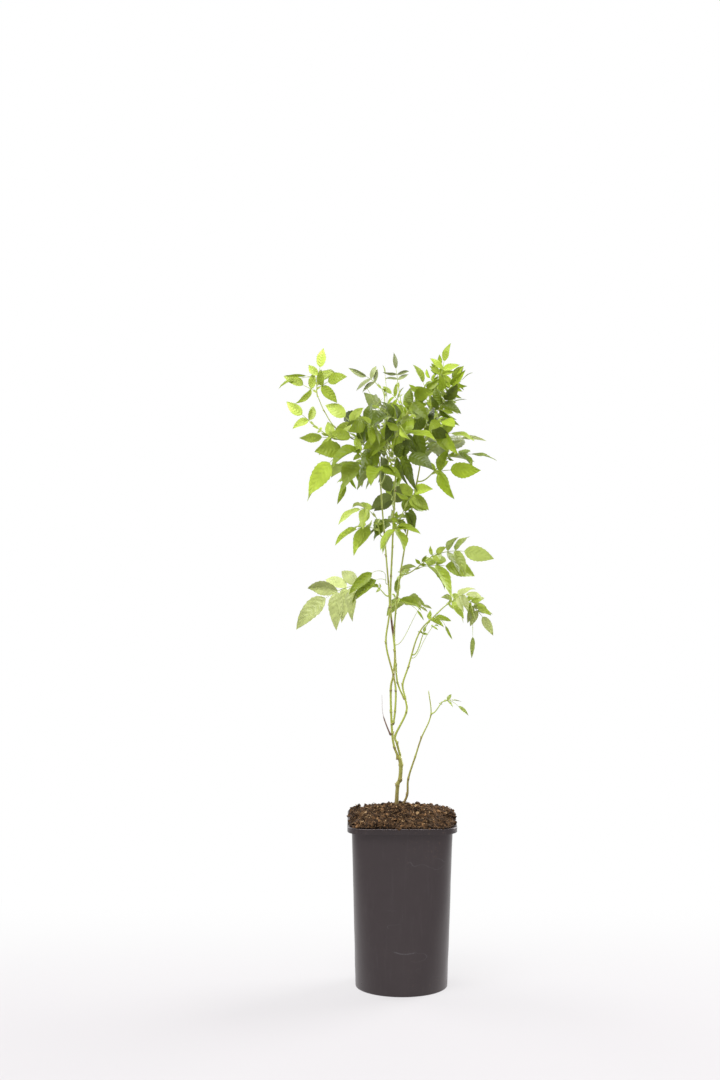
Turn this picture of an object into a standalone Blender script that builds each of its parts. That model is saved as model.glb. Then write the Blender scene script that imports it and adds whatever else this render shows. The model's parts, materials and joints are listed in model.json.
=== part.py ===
"""A young climbing rose in its nursery pot: the pot, the soil that fills it, the canes that rise from
the soil and the masses of leaves that they carry. Metres, +Z up. The origin is the centre of the
pot's underside, and the front of the plant faces -Y."""

import math
from collections import namedtuple

import bpy
import bmesh
import numpy as np
from mathutils.bvhtree import BVHTree

CM = 0.01
GAP = 0.0003

# The pot is round at its foot and a square with rounded corners at its top.
POT_HEIGHT = 0.215
POT_FOOT_RADIUS = 0.0585
POT_FOOT_BEVEL = 0.001
POT_TOP_HALF = 0.063
POT_TOP_CORNER = 0.017
POT_WALL = 0.0012
POT_FLOOR = 0.0015
POT_LEVELS = 6
RIM_HALF = 0.0685
RIM_CORNER = 0.0215
RIM_DROP = 0.007
RIM_SHEET = 0.0012
DRAIN_COUNT = 8
DRAIN_RADIUS = 0.004
DRAIN_RING = 0.042

# The soil heaps over the inner part of the rim and has a level place where the canes stand.
SOIL_EDGE_HALF = 0.0655
SOIL_EDGE_CORNER = 0.019
SOIL_EDGE_TOP = 0.2175
SOIL_TOP = 0.2312
SOIL_PAD_RADIUS = 0.012
SOIL_PAD_X = -0.0025
SOIL_RINGS = 5
SOIL_LUMP = 0.0016

# Corner directions of one eighth of the pot's outline, closer together round the corner.
EIGHTH = (0.0, 16.0, 29.0, 37.0, 41.5, 45.0)

LIMB_SIDES = 6
TWIG_SIDES = 4
PETIOLE_SIDES = 3
CURVE_STEPS = 2
FLARE_HEIGHT = 0.006

TWIG_FOOT = 0.00085
TWIG_TIP = 0.00055
PETIOLE_FOOT = 0.00055
PETIOLE_TIP = 0.00040
LEAF_THICKNESS = 0.0008
LEAF_FOLD = 0.22
LEAF_CLEARANCE = 0.0008
SPIRAL = 144.0
TURNS_TRIED = (0.0, 25.0, -25.0, 50.0, -50.0, 80.0, -80.0)

# A limb starts level on the soil ("soil"), level on the fork of the main stem ("fork"), on the side of
# another limb at a height and in a heading, or on that limb's tip where the height is None. Its bends
# are x, y, z in centimetres, and on the soil or the fork the first bend's z comes from what carries it.
# Its radii are in millimetres, and flare is how much its foot widens.
Limb = namedtuple("Limb", "name start height heading bends foot tip flare colour")
LIMBS = (
    Limb("main_stem", "soil", None, None,
         ((-0.66, 0, 0), (-0.49, 0, 25.8), (-0.21, 0, 26.5), (-0.10, 0, 28.4), (-0.38, 0, 29.6)),
         2.2, 2.7, 0.45, "cane"),
    Limb("left_stem", "fork", None, None,
         ((-0.55, 0, 0), (-0.9, 0, 30.6), (-1.2, 0, 32.4), (-1.4, 0, 37.9), (-1.05, 0, 39.9),
          (-0.88, 0, 42.9), (-1.44, 0, 48.7), (-1.2, 0.4, 56.0), (-0.9, 0.4, 63.0), (-0.6, 0.0, 68.5)),
         1.55, 1.0, 0.0, "cane"),
    Limb("middle_stem", "left_stem", 33.6, 300.0,
         ((-0.85, -0.5, 35.3), (-0.76, -0.5, 37.9), (-1.1, -0.55, 40.0), (-2.01, -0.5, 44.0),
          (-1.55, -0.7, 48.5), (-2.0, -1.0, 55.0), (-2.5, -1.3, 61.0), (-2.9, -1.2, 67.0)),
         1.3, 0.9, 0.0, "cane"),
    Limb("right_stem", "fork", None, None,
         ((-0.20, 0, 0), (-0.62, -0.25, 31.2), (-0.80, -0.3, 32.2), (0.57, -0.1, 35.1),
          (0.42, 0, 36.9), (0.12, 0, 38.6), (0.8, 0, 40.8), (2.2, 0, 45.2), (4.41, 0, 47.6)),
         1.5, 0.8, 0.0, "cane"),
    Limb("rear_stem", "right_stem", 36.8, 125.0,
         ((-0.5, 0.65, 38.7), (-0.75, 0.75, 41.0), (-0.9, 0.9, 46.0), (-0.1, 1.2, 53.0),
          (1.3, 1.3, 61.0), (2.4, 1.0, 67.0), (2.9, 0.6, 71.6)),
         1.2, 0.9, 0.0, "cane"),
    Limb("arching_stem", "middle_stem", None, None,
         ((-3.6, -1.3, 68.2), (-6.3, -1.5, 69.7), (-8.4, -1.8, 71.1), (-9.7, -2.0, 73.1),
          (-10.5, -2.2, 74.9)),
         0.8, 0.55, 0.0, "cane"),
    Limb("side_stem", "soil", None, None,
         ((0.13, 0, 0), (0.72, 0, 24.6), (0.84, 0, 26.6), (1.71, 0, 29.4), (2.48, 0, 31.8),
          (3.66, 0, 34.7), (3.38, 0, 37.8)),
         1.5, 0.6, 0.2, "cane"),
    Limb("dead_snag", "left_stem", 32.3, 180.0,
         ((-2.37, 0, 34.8), (-2.5, 0, 37.3)),
         0.9, 0.5, 0.0, "dead"),
)

# A mass of leaves grows from one twig. The twig starts on the side of a limb at a height and in a
# heading, or on the limb's tip where the height is None; it runs past bend to tip (x, y, z in
# centimetres). Leaves stand along it in a spiral that starts at the heading turn, and their upper
# sides lean to the heading facing. leaflet is the length of an end leaflet in centimetres, slim its
# width over its length, droop how far a leaf stalk bends down, and sag how far its leaflets hang.
Mass = namedtuple(
    "Mass",
    "name limb height heading bend tip leaves turn facing leaflet slim pairs droop sag seed colour",
)
MASSES = (
    Mass("foliage_top", "rear_stem", None, 0, (4.2, 0.2, 74.2), (4.7, -0.2, 76.8),
         5, 20, 270, 2.7, 0.40, 2, -0.2, 0.1, 3, "young"),
    Mass("foliage_shoot", "rear_stem", 69.5, 215, (0.0, 0.2, 72.0), (-0.5, 0.2, 76.4),
         4, 200, 270, 2.3, 0.26, 2, 0.0, 0.2, 5, "young"),
    Mass("foliage_high_left", "left_stem", 67.6, 170, (-1.2, 0.8, 75.2), (-2.8, 0.6, 76.0),
         2, 150, 270, 2.7, 0.32, 2, 0.4, 0.3, 6, "grown"),
    Mass("foliage_arching_top", "arching_stem", None, 0, (-10.7, -2.3, 75.8), (-10.5, -2.3, 76.9),
         4, 180, 270, 2.8, 0.50, 1, 0.1, 0.2, 7, "young"),
    Mass("foliage_arching_side", "arching_stem", 69.9, 185, (-9.6, -2.2, 70.0), (-11.2, -2.4, 71.6),
         2, 185, 270, 2.9, 0.52, 1, 0.1, 0.3, 8, "young"),
    Mass("foliage_arching_foot", "arching_stem", 68.9, 250, (-5.0, -2.4, 70.2), (-5.8, -2.6, 71.0),
         2, 200, 270, 3.1, 0.54, 1, 0.2, 0.3, 9, "bright"),
    Mass("foliage_side_left", "middle_stem", 65.3, 180, (-5.2, -1.8, 68.8), (-6.8, -2.2, 68.2),
         2, 200, 270, 4.6, 0.54, 1, 0.8, 0.8, 31, "bright"),
    Mass("foliage_side_right", "rear_stem", 64.2, 350, (4.8, 0.4, 67.2), (6.5, 0.2, 67.4),
         3, 330, 270, 4.2, 0.50, 1, 0.3, 0.3, 37, "bright"),
    Mass("foliage_crown_left", "left_stem", 66.3, 215, (-2.2, -2.0, 70.0), (-3.2, -2.6, 70.8),
         4, 195, 270, 3.9, 0.52, 2, 0.5, 0.7, 11, "grown"),
    Mass("foliage_crown_centre", "left_stem", None, 0, (-0.4, -0.6, 70.5), (0.6, -1.8, 72.8),
         4, 300, 270, 3.5, 0.52, 2, 0.4, 0.6, 13, "grown"),
    Mass("foliage_crown_right", "rear_stem", 69.3, 335, (3.2, -0.9, 70.4), (4.1, -1.4, 72.4),
         4, 350, 270, 3.4, 0.52, 2, 0.4, 0.5, 17, "grown"),
    Mass("foliage_crown_rear_left", "left_stem", 65.0, 110, (-1.6, 3.4, 69.0), (-2.2, 4.2, 71.0),
         4, 140, 90, 3.7, 0.52, 2, 0.5, 0.6, 19, "grown"),
    Mass("foliage_crown_rear_right", "rear_stem", 66.5, 65, (2.8, 3.6, 69.4), (3.2, 4.4, 71.2),
         4, 60, 90, 3.7, 0.52, 2, 0.5, 0.6, 23, "grown"),
    Mass("foliage_crown_front", "middle_stem", 64.0, 285, (-1.6, -3.4, 67.6), (-0.8, -4.0, 70.2),
         4, 250, 270, 3.5, 0.52, 2, 0.5, 0.7, 29, "grown"),
    Mass("foliage_middle_left", "middle_stem", 57.4, 190, (-2.9, -1.6, 59.6), (-3.4, -1.8, 60.0),
         2, 160, 270, 3.2, 0.50, 2, 0.9, 0.7, 41, "bright"),
    Mass("foliage_middle_right", "rear_stem", 52.4, 350, (3.0, 0.8, 54.6), (4.4, 0.6, 55.0),
         2, 20, 270, 4.1, 0.50, 2, 0.5, 0.4, 43, "bright"),
    Mass("foliage_middle_rear", "left_stem", 57.5, 95, (-0.8, 4.0, 60.5), (-0.8, 5.0, 61.8),
         3, 120, 90, 3.8, 0.52, 2, 0.6, 0.6, 47, "grown"),
    Mass("foliage_middle_front", "middle_stem", 57.0, 290, (-0.2, -3.6, 60.0), (0.4, -4.2, 61.5),
         3, 280, 270, 3.6, 0.52, 2, 0.6, 0.6, 53, "grown"),
    Mass("foliage_low_left", "middle_stem", 49.9, 180, (-2.6, -0.9, 51.0), (-3.4, -0.9, 51.1),
         1, 180, 270, 4.9, 0.48, 3, 0.95, 0.55, 9902, "bright"),
    Mass("foliage_low_right", "right_stem", None, 0, (6.6, 0.1, 50.0), (8.2, 0.0, 49.0),
         4, 60, 270, 2.5, 0.46, 2, 0.7, 0.5, 61, "bright"),
    Mass("foliage_low_centre", "right_stem", 42.4, 30, (2.4, 0.9, 45.0), (3.4, 1.0, 46.4),
         1, 0, 270, 2.3, 0.46, 1, 0.9, 0.5, 67, "bright"),
    Mass("foliage_low_rear", "rear_stem", 47.5, 95, (-0.6, 3.4, 50.0), (-0.4, 4.2, 50.6),
         2, 70, 90, 3.8, 0.52, 2, 0.5, 0.6, 71, "bright"),
    Mass("foliage_lowest", "side_stem", 34.9, 0, (4.8, 0.0, 36.4), (5.4, 0.0, 36.5),
         1, 0, 270, 1.5, 0.42, 1, 0.4, 0.1, 73, "bright"),
)

# Base colour, roughness and metallic value of each material.
FINISHES = {
    "pot": ((0.060, 0.052, 0.055), 0.45, 0.0),
    "soil": ((0.055, 0.030, 0.016), 0.95, 0.0),
    "cane": ((0.20, 0.30, 0.06), 0.55, 0.0),
    "dead": ((0.17, 0.09, 0.05), 0.80, 0.0),
    "young": ((0.42, 0.60, 0.10), 0.50, 0.0),
    "bright": ((0.24, 0.42, 0.06), 0.50, 0.0),
    "grown": ((0.07, 0.16, 0.025), 0.50, 0.0),
}


def unit(vector):
    """The same direction with length one."""
    vector = np.asarray(vector, float)
    return vector / np.linalg.norm(vector)


def across(vector, axis):
    """The part of vector at right angles to the unit axis, with length one."""
    return unit(vector - np.dot(vector, axis) * axis)


def spun(vector, axis, angle):
    """The vector turned about the unit axis by an angle in radians."""
    return (vector * math.cos(angle) + np.cross(axis, vector) * math.sin(angle)
            + axis * np.dot(axis, vector) * (1 - math.cos(angle)))


def heading_of(degrees):
    """The level direction that lies degrees anticlockwise from +X."""
    return np.array((math.cos(math.radians(degrees)), math.sin(math.radians(degrees)), 0.0))


def skin(rings):
    """Points and faces of the closed skin carried through rings, each anticlockwise seen from ahead.
    A ring of one point is a tip, and the end rings of more points are closed by a flat face. Each
    four-sided patch is split along the diagonal that rises the same way round, whether the rings run
    up or down, so that a skin and the lining inside it keep an even distance."""
    points = [tuple(point) for ring in rings for point in ring]
    faces = []
    start = 0
    for ring, after in zip(rings, rings[1:]):
        count = len(ring)
        following = start + count
        for i in range(count):
            j = (i + 1) % count
            if len(after) == 1:
                faces.append((start + i, start + j, following))
            elif after[0][2] > ring[0][2]:
                faces.append((start + i, start + j, following + i))
                faces.append((start + j, following + j, following + i))
            else:
                faces.append((start + i, start + j, following + j))
                faces.append((start + i, following + j, following + i))
        start = following
    faces.append(tuple(reversed(range(len(rings[0])))))
    if len(rings[-1]) > 1:
        faces.append(tuple(range(start, start + len(rings[-1]))))
    return points, faces


def new_object(name, points, faces, collection=None):
    """A mesh object of these points and faces, linked to the collection or to the scene's own."""
    mesh = bpy.data.meshes.new(name)
    mesh.from_pydata(points, [], faces)
    mesh.update()
    made = bpy.data.objects.new(name, mesh)
    (collection or bpy.context.scene.collection).objects.link(made)
    return made


def finish(made, kind, smooth_angle=40.0):
    """Gives an object its material and its smooth shading."""
    material = bpy.data.materials.get(kind)
    if material is None:
        material = bpy.data.materials.new(kind)
        material.use_nodes = True
        colour, roughness, metallic = FINISHES[kind]
        shader = material.node_tree.nodes["Principled BSDF"]
        shader.inputs["Base Color"].default_value = (*colour, 1.0)
        shader.inputs["Roughness"].default_value = roughness
        shader.inputs["Metallic"].default_value = metallic
    made.data.materials.clear()
    made.data.materials.append(material)
    made.data.shade_smooth()
    made.data.set_sharp_from_angle(angle=math.radians(smooth_angle))


def baked(made):
    """Replaces an object's mesh by the mesh that its modifiers make, and drops the modifiers."""
    graph = bpy.context.evaluated_depsgraph_get()
    mesh = bpy.data.meshes.new_from_object(made.evaluated_get(graph))
    made.modifiers.clear()
    made.data = mesh
    mesh.name = made.name


# ---- Pot and soil ----

quarter = EIGHTH + tuple(90.0 - angle for angle in EIGHTH[-2:0:-1])
ring_degrees = np.array([90.0 * side + angle for side in range(4) for angle in quarter])
ring_angles = np.radians(ring_degrees)
folded = np.radians(np.abs((ring_degrees + 45.0) % 90.0 - 45.0))


def rounded_square(half, corner, z):
    """One ring of points at height z, on a square of this half width with this corner radius."""
    inset = half - corner
    flat = half / np.cos(folded)
    under = corner ** 2 - inset ** 2 * (np.cos(folded) - np.sin(folded)) ** 2
    turned = inset * (np.cos(folded) + np.sin(folded)) + np.sqrt(np.maximum(under, 0.0))
    radius = np.where(half * np.tan(folded) <= inset, flat, turned)
    heights = np.broadcast_to(z, radius.shape)
    return np.stack([radius * np.cos(ring_angles), radius * np.sin(ring_angles), heights], 1)


def wall_ring(z, inward):
    """The pot wall's ring at height z, moved inward from its outer face."""
    share = z / (POT_HEIGHT - RIM_SHEET)
    half = POT_FOOT_RADIUS + (POT_TOP_HALF - POT_FOOT_RADIUS) * share
    corner = POT_FOOT_RADIUS + (POT_TOP_CORNER - POT_FOOT_RADIUS) * share
    return rounded_square(half - inward, corner - inward, z)


def make_pot():
    """The moulded shell with its L-shaped rim, less the round drain holes in its floor."""
    levels = np.linspace(POT_FOOT_BEVEL, POT_HEIGHT - RIM_SHEET, POT_LEVELS)
    inner_levels = np.append(levels[:0:-1], POT_FLOOR)
    foot = POT_FOOT_RADIUS - POT_FOOT_BEVEL
    rings = [rounded_square(foot, foot, 0.0)]
    rings += [wall_ring(z, 0.0) for z in levels]
    rings.append(rounded_square(RIM_HALF - RIM_SHEET, RIM_CORNER - RIM_SHEET, levels[-1]))
    rings.append(rounded_square(RIM_HALF - RIM_SHEET, RIM_CORNER - RIM_SHEET, POT_HEIGHT - RIM_DROP))
    rings.append(rounded_square(RIM_HALF, RIM_CORNER, POT_HEIGHT - RIM_DROP))
    rings.append(rounded_square(RIM_HALF, RIM_CORNER, POT_HEIGHT))
    top_half = POT_TOP_HALF - POT_WALL
    rings.append(rounded_square(top_half, POT_TOP_CORNER - POT_WALL, POT_HEIGHT))
    rings += [wall_ring(z, POT_WALL) for z in inner_levels]
    pot = new_object("pot", *skin(rings))
    drains = bpy.data.collections.new("drains")
    for i in range(DRAIN_COUNT):
        middle = DRAIN_RING * heading_of(360.0 * i / DRAIN_COUNT)
        turns = [heading_of(30.0 * k) * DRAIN_RADIUS + middle for k in range(12)]
        lower = [turn - np.array((0, 0, POT_FLOOR)) for turn in turns]
        upper = [turn + np.array((0, 0, 2 * POT_FLOOR)) for turn in turns]
        new_object(f"drain_{i}", *skin([lower, upper]), drains)
    cut = pot.modifiers.new("drains", "BOOLEAN")
    cut.operation = "DIFFERENCE"
    cut.operand_type = "COLLECTION"
    cut.collection = drains
    baked(pot)
    remove_all(drains)
    finish(pot, "pot")


def lump(x, y):
    """A smooth uneven height between about -1 and 1, for the soil's surface."""
    return (math.sin(310 * x + 1.3) * math.sin(270 * y + 0.4)
            + 0.6 * math.sin(620 * x - 410 * y + 2.1) + 0.5 * math.sin(530 * y + 350 * x)) / 2.1


def make_soil():
    """A plug that fits the pot, under a heap that spreads over the rim's inner part."""
    levels = np.linspace(POT_FOOT_BEVEL, POT_HEIGHT - RIM_SHEET, POT_LEVELS)
    inward = POT_WALL + GAP
    rings = [wall_ring(POT_FLOOR + GAP, inward)]
    rings += [wall_ring(z, inward) for z in levels[1:]]
    neck = POT_TOP_HALF - inward
    rings.append(rounded_square(neck, POT_TOP_CORNER - inward, POT_HEIGHT + GAP))
    rings.append(rounded_square(SOIL_EDGE_HALF, SOIL_EDGE_CORNER, POT_HEIGHT + GAP))
    for i in range(SOIL_RINGS):
        share = i / (SOIL_RINGS - 1)
        half = SOIL_EDGE_HALF + (SOIL_PAD_RADIUS - SOIL_EDGE_HALF) * share
        corner = SOIL_EDGE_CORNER + (SOIL_PAD_RADIUS - SOIL_EDGE_CORNER) * share
        rise = SOIL_EDGE_TOP + (SOIL_TOP - SOIL_EDGE_TOP) * share
        ring = rounded_square(half, corner, rise)
        ring[:, 0] += SOIL_PAD_X * share
        if 0 < i < SOIL_RINGS - 1:
            ring[:, 2] += [SOIL_LUMP * lump(x, y) for x, y, _ in ring]
        rings.append(ring)
    finish(new_object("soil", *skin(rings)), "soil", 80.0)


# ---- Limbs ----

def curve_through(points, steps):
    """Points on a smooth curve through the given ones, with this many steps from each to the next."""
    points = np.asarray(points, float)
    before = np.vstack([2 * points[0] - points[1], points, 2 * points[-1] - points[-2]])
    found = []
    for a, b, c, d in zip(before, before[1:], before[2:], before[3:]):
        for t in np.arange(steps) / steps:
            found.append(0.5 * (2 * b + (c - a) * t + (2 * a - 5 * b + 4 * c - d) * t ** 2
                                + (3 * b - a - 3 * c + d) * t ** 3))
    found.append(points[-1])
    return np.array(found)


def tube(path, radii, sides, first_facing=None, last_facing=None):
    """Rings of a round limb along a path. The end rings can be turned to face a given way."""
    path = np.asarray(path, float)
    steps = np.diff(path, axis=0)
    facing = [unit(a) + unit(b) for a, b in zip(steps, steps[1:])]
    facing = [steps[0], *facing, steps[-1]]
    if first_facing is not None:
        facing[0] = first_facing
    if last_facing is not None:
        facing[-1] = last_facing
    side = np.array((1.0, 0.0, 0.0)) if abs(unit(facing[0])[0]) < 0.8 else np.array((0.0, 1.0, 0.0))
    rings = []
    for centre, ahead, radius in zip(path, facing, radii):
        ahead = unit(ahead)
        side = across(side, ahead)
        other = np.cross(ahead, side)
        turns = 2 * math.pi * np.arange(sides) / sides
        rings.append([centre + radius * (math.cos(a) * side + math.sin(a) * other) for a in turns])
    return rings


def seat(grown, height, heading):
    """Where a branch starts on a grown limb, 0.3 mm clear of it, and the way it faces there. The seat
    is on the limb's side at a height and in a heading, or on its tip where the height is None."""
    path, radii = grown
    if height is None:
        ahead = unit(path[-1] - path[-2])
        return path[-1] + ahead * GAP, ahead
    i = int(np.searchsorted(path[:, 2], height * CM)) - 1
    share = (height * CM - path[i, 2]) / (path[i + 1, 2] - path[i, 2])
    middle = path[i] + (path[i + 1] - path[i]) * share
    out = across(heading_of(heading), unit(path[i + 1] - path[i]))
    return middle + out * (max(radii[i], radii[i + 1]) * 1.03 + GAP), out


def grow_limb(limb, grown):
    """The path and radii of a limb's rings, with the way that its first ring faces."""
    bends = np.array(limb.bends, float) * CM
    upright = np.array((0.0, 0.0, 1.0))
    if limb.start in grown and limb.height is None:
        start, facing = seat(grown[limb.start], None, None)
        bends = np.vstack([start, bends])
    elif limb.start in ("soil", "fork"):
        level = SOIL_TOP if limb.start == "soil" else grown["main_stem"][0][-1][2]
        bends[0, 2] = level + GAP
        facing = upright
    else:
        start, facing = seat(grown[limb.start], limb.height, limb.heading)
        away = start + (facing + 0.8 * upright) * 1.6 * limb.foot * 0.001
        bends = np.vstack([start, away, bends])
    path = curve_through(bends, CURVE_STEPS)
    along = np.append(0.0, np.cumsum(np.linalg.norm(np.diff(path, axis=0), axis=1)))
    radii = 0.001 * (limb.foot + (limb.tip - limb.foot) * along / along[-1])
    radii *= 1.0 + limb.flare * np.exp(-along / FLARE_HEIGHT)
    return path, radii, facing


# ---- Masses of leaves ----

def along_twig(corners, t):
    """Points at t, from 0 to 1, on the cubic curve that four control points give."""
    t = np.asarray(t, float)[:, None]
    a, b, c, d = corners
    return (1 - t) ** 3 * a + 3 * t * (1 - t) ** 2 * b + 3 * t ** 2 * (1 - t) * c + t ** 3 * d


def leaflet_skin(foot, out, face, length, width, sag, swell=0.0):
    """Points and faces of one pointed leaflet: a six-sided outline with a raised and a lowered middle.
    It leaves foot along out, its upper side faces face, it bends down by sag, and its halves fold up
    from the midrib. swell widens and thickens it all round."""
    down = np.array((0.0, 0.0, -1.0))

    def frame(share):
        centre = foot + length * (out * share + 0.5 * sag * share ** 2 * down)
        ahead = unit(out + sag * share * down)
        up = across(face, ahead)
        return centre, up, np.cross(up, ahead)

    outline = [foot]
    for share, side, spread in ((0.34, 1, 1.0), (0.70, 1, 0.68), (1.0, 0, 0.0), (0.70, -1, 0.68),
                                (0.34, -1, 1.0)):
        centre, up, right = frame(share)
        half = 0.5 * width * spread + swell * abs(side)
        outline.append(centre + right * side * half + up * LEAF_FOLD * 0.5 * width * spread)
    centre, up, _ = frame(0.42)
    half = 0.5 * LEAF_THICKNESS + swell
    points = [*outline, centre + up * half, centre - up * half]
    faces = []
    for i in range(6):
        faces += [(i, (i + 1) % 6, 6), ((i + 1) % 6, i, 7)]
    return [tuple(point) for point in points], faces


def leaf_pieces(foot, out, mass, size, chance, swell=0.0):
    """The skins of one leaf, stalk first: leaflets in pairs along a drooping stalk and one at its end."""
    down = np.array((0.0, 0.0, -1.0))
    length = mass.leaflet * CM * size
    stalk = length * (0.40 + 0.32 * mass.pairs)
    shares = np.linspace(0.0, 1.0, 8 if mass.pairs > 2 else 4)
    path = [foot + stalk * (out * s + 0.5 * mass.droop * s ** 2 * down) for s in shares]
    radii = PETIOLE_FOOT + (PETIOLE_TIP - PETIOLE_FOOT) * shares + swell
    pieces = [skin(tube(path, radii, PETIOLE_SIDES))]
    roll = math.radians(30.0) * chance[0, 0]
    light = ((0.8 + 0.6 * chance[0, 1]) * heading_of(mass.facing) + np.array((0.0, 0.0, 0.4))
             + 0.6 * chance[1, 0] * heading_of(mass.facing + 90.0))
    for k in range(2 * mass.pairs + 1):
        pair = k // 2
        last = k == 2 * mass.pairs
        side = 1.0 if k % 2 else -1.0
        share = 0.97 if last else 0.40 + 0.52 * pair / mass.pairs + 0.012 * side
        ahead = unit(out + mass.droop * share * down)
        start = foot + stalk * (out * share + 0.5 * mass.droop * share ** 2 * down)
        face = spun(across(light, ahead), ahead, roll)
        if last:
            way, scale = ahead, 1.0
        else:
            angle = side * math.radians(62.0 + 10.0 * chance[k, 1])
            way = spun(ahead, face, angle)
            way = unit(way + 0.4 * mass.sag * (1.0 + 0.5 * chance[k, 2]) * down)
            scale = (0.66 + 0.20 * (pair + 1) / mass.pairs) * (1.0 + 0.08 * chance[k, 3])
        face = spun(across(face, way), way, math.radians(30.0) * chance[k, 2])
        sag = mass.sag * (0.8 + 0.3 * chance[k, 3])
        pieces.append(leaflet_skin(start, way, face, length * scale, length * scale * mass.slim,
                                   sag, swell))
    return pieces


def fence(points, faces):
    """A tree of a closed skin's faces for touch tests, with the corners of its box."""
    corners = np.array(points)
    return BVHTree.FromPolygons(points, faces), corners.min(0), corners.max(0)


def touches(piece, others):
    """Whether a fenced piece meets any of the others."""
    tree, low, high = piece
    for other, other_low, other_high in others:
        if (low <= other_high).all() and (other_low <= high).all() and tree.overlap(other):
            return True
    return False


def grow_twig(mass, grown):
    """The control points of a mass's twig, and the way that its foot faces."""
    start, facing = seat(grown[mass.limb], mass.height, mass.heading)
    bend = np.array(mass.bend) * CM
    tip = np.array(mass.tip) * CM
    lead = 0.35 * np.linalg.norm(bend - start)
    return (start, start + facing * lead, bend, tip), facing


def grow_leaves(mass, corners, twig, taken):
    """The skins of a mass's stalks and leaflets. Each leaf is tried at several turns about the twig,
    and a leaflet that still touches what is already there is left off."""
    chances = np.random.default_rng(mass.seed)
    low, high = (0.40, 1.0) if mass.leaves > 1 else (0.97, 0.97)
    kept = []
    for i in range(mass.leaves):
        t = high if mass.leaves == 1 else low + (high - low) * i / (mass.leaves - 1)
        t = min(t, 0.97)
        foot, before = along_twig(corners, (t, t - 0.03))
        ahead = unit(foot - before)
        chance = chances.uniform(-1.0, 1.0, (2 * mass.pairs + 2, 4))
        size = (1.15 - 0.25 * t) * (1.0 + 0.12 * chance[-1, 0])
        best = []
        best_fences = []
        for turn in TURNS_TRIED:
            heading = mass.turn + SPIRAL * i + 12.0 * chance[-1, 1] + turn
            level = heading_of(heading)
            level = level - 1.6 * min(0.0, np.dot(level, ahead)) * ahead
            out = unit(0.45 * ahead + level + np.array((0.0, 0.0, 0.15)))
            if i == mass.leaves - 1:
                out = spun(ahead, across(np.array((0.0, 0.0, 1.0)) + 0.3 * level, ahead),
                           math.radians(0.5 * turn))
            pieces = leaf_pieces(foot, out, mass, size, chance)
            fences = [fence(*piece) for piece in
                      leaf_pieces(foot, out, mass, size, chance, LEAF_CLEARANCE)]
            if touches(fences[0], taken):
                continue
            free = [k for k in range(1, len(pieces)) if not touches(fences[k], taken + [twig])]
            if len(free) > len(best) - 1:
                best = [pieces[0]] + [pieces[k] for k in free]
                best_fences = [fences[0]] + [fences[k] for k in free]
            if len(free) == len(pieces) - 1:
                break
        kept += best
        taken += best_fences
    return kept


def remove_all(collection):
    """Removes a collection, its objects and their meshes."""
    for helper in list(collection.objects):
        mesh = helper.data
        bpy.data.objects.remove(helper)
        bpy.data.meshes.remove(mesh)
    bpy.data.collections.remove(collection)


def keep_largest(mesh):
    """Drops every loose scrap from a mesh, leaving the body with the most corners."""
    work = bmesh.new()
    work.from_mesh(mesh)
    unseen = set(work.verts)
    bodies = []
    while unseen:
        body = {unseen.pop()}
        edge = list(body)
        while edge:
            near = {other.verts[0] if other.verts[1] is vert else other.verts[1]
                    for vert in edge for other in vert.link_edges} - body
            body |= near
            edge = list(near)
        unseen -= body
        bodies.append(body)
    bodies.sort(key=len)
    for body in bodies[:-1]:
        bmesh.ops.delete(work, geom=list(body), context="VERTS")
    work.to_mesh(mesh)
    work.free()


def fuse(name, twig, pieces, colour):
    """One body made of a twig and its leaves."""
    parts = bpy.data.collections.new(name + "_parts")
    for i, piece in enumerate(pieces):
        new_object(f"{name}_{i}", *piece, parts)
    made = new_object(name, *skin(twig))
    join = made.modifiers.new("join", "BOOLEAN")
    join.operation = "UNION"
    join.operand_type = "COLLECTION"
    join.collection = parts
    baked(made)
    remove_all(parts)
    keep_largest(made.data)
    finish(made, colour, 25.0)


def main():
    for old in list(bpy.data.objects):
        bpy.data.objects.remove(old)
    make_pot()
    make_soil()

    grown = {}
    taken = []
    for limb in LIMBS:
        path, radii, facing = grow_limb(limb, grown)
        grown[limb.name] = (path, radii)
        level_tip = np.array((0.0, 0.0, 1.0)) if limb.name == "main_stem" else None
        rings = tube(path, radii, LIMB_SIDES, facing, level_tip)
        finish(new_object(limb.name, *skin(rings)), limb.colour, 60.0)
        taken.append(fence(*skin(rings)))

    twigs = []
    for mass in MASSES:
        corners, facing = grow_twig(mass, grown)
        shares = np.append(0.0, np.linspace(0.06, 1.0, 6))
        radii = TWIG_FOOT + (TWIG_TIP - TWIG_FOOT) * shares
        rings = tube(along_twig(corners, shares), radii, TWIG_SIDES, facing)
        twigs.append((corners, rings))
    taken += [fence(*skin(rings)) for _, rings in twigs]
    own = len(LIMBS)
    for i, (mass, (corners, rings)) in enumerate(zip(MASSES, twigs)):
        twig = taken[own + i]
        others = [piece for piece in taken if piece is not twig]
        leaves = grow_leaves(mass, corners, twig, others)
        taken = others[:own + i] + [twig] + others[own + i:]
        fuse(mass.name, rings, leaves, mass.colour)


main()
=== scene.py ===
"""Looks of a young climbing rose in its nursery pot: the moulded pot, the peat that fills it, the
stems with their bark, and the twigs, stalks and leaflets of every mass. Metres, +Z up, front
towards -Y."""

import json
import math
from collections import namedtuple

import bpy
import numpy as np
from mathutils import Matrix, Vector
from mathutils.bvhtree import BVHTree

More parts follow.
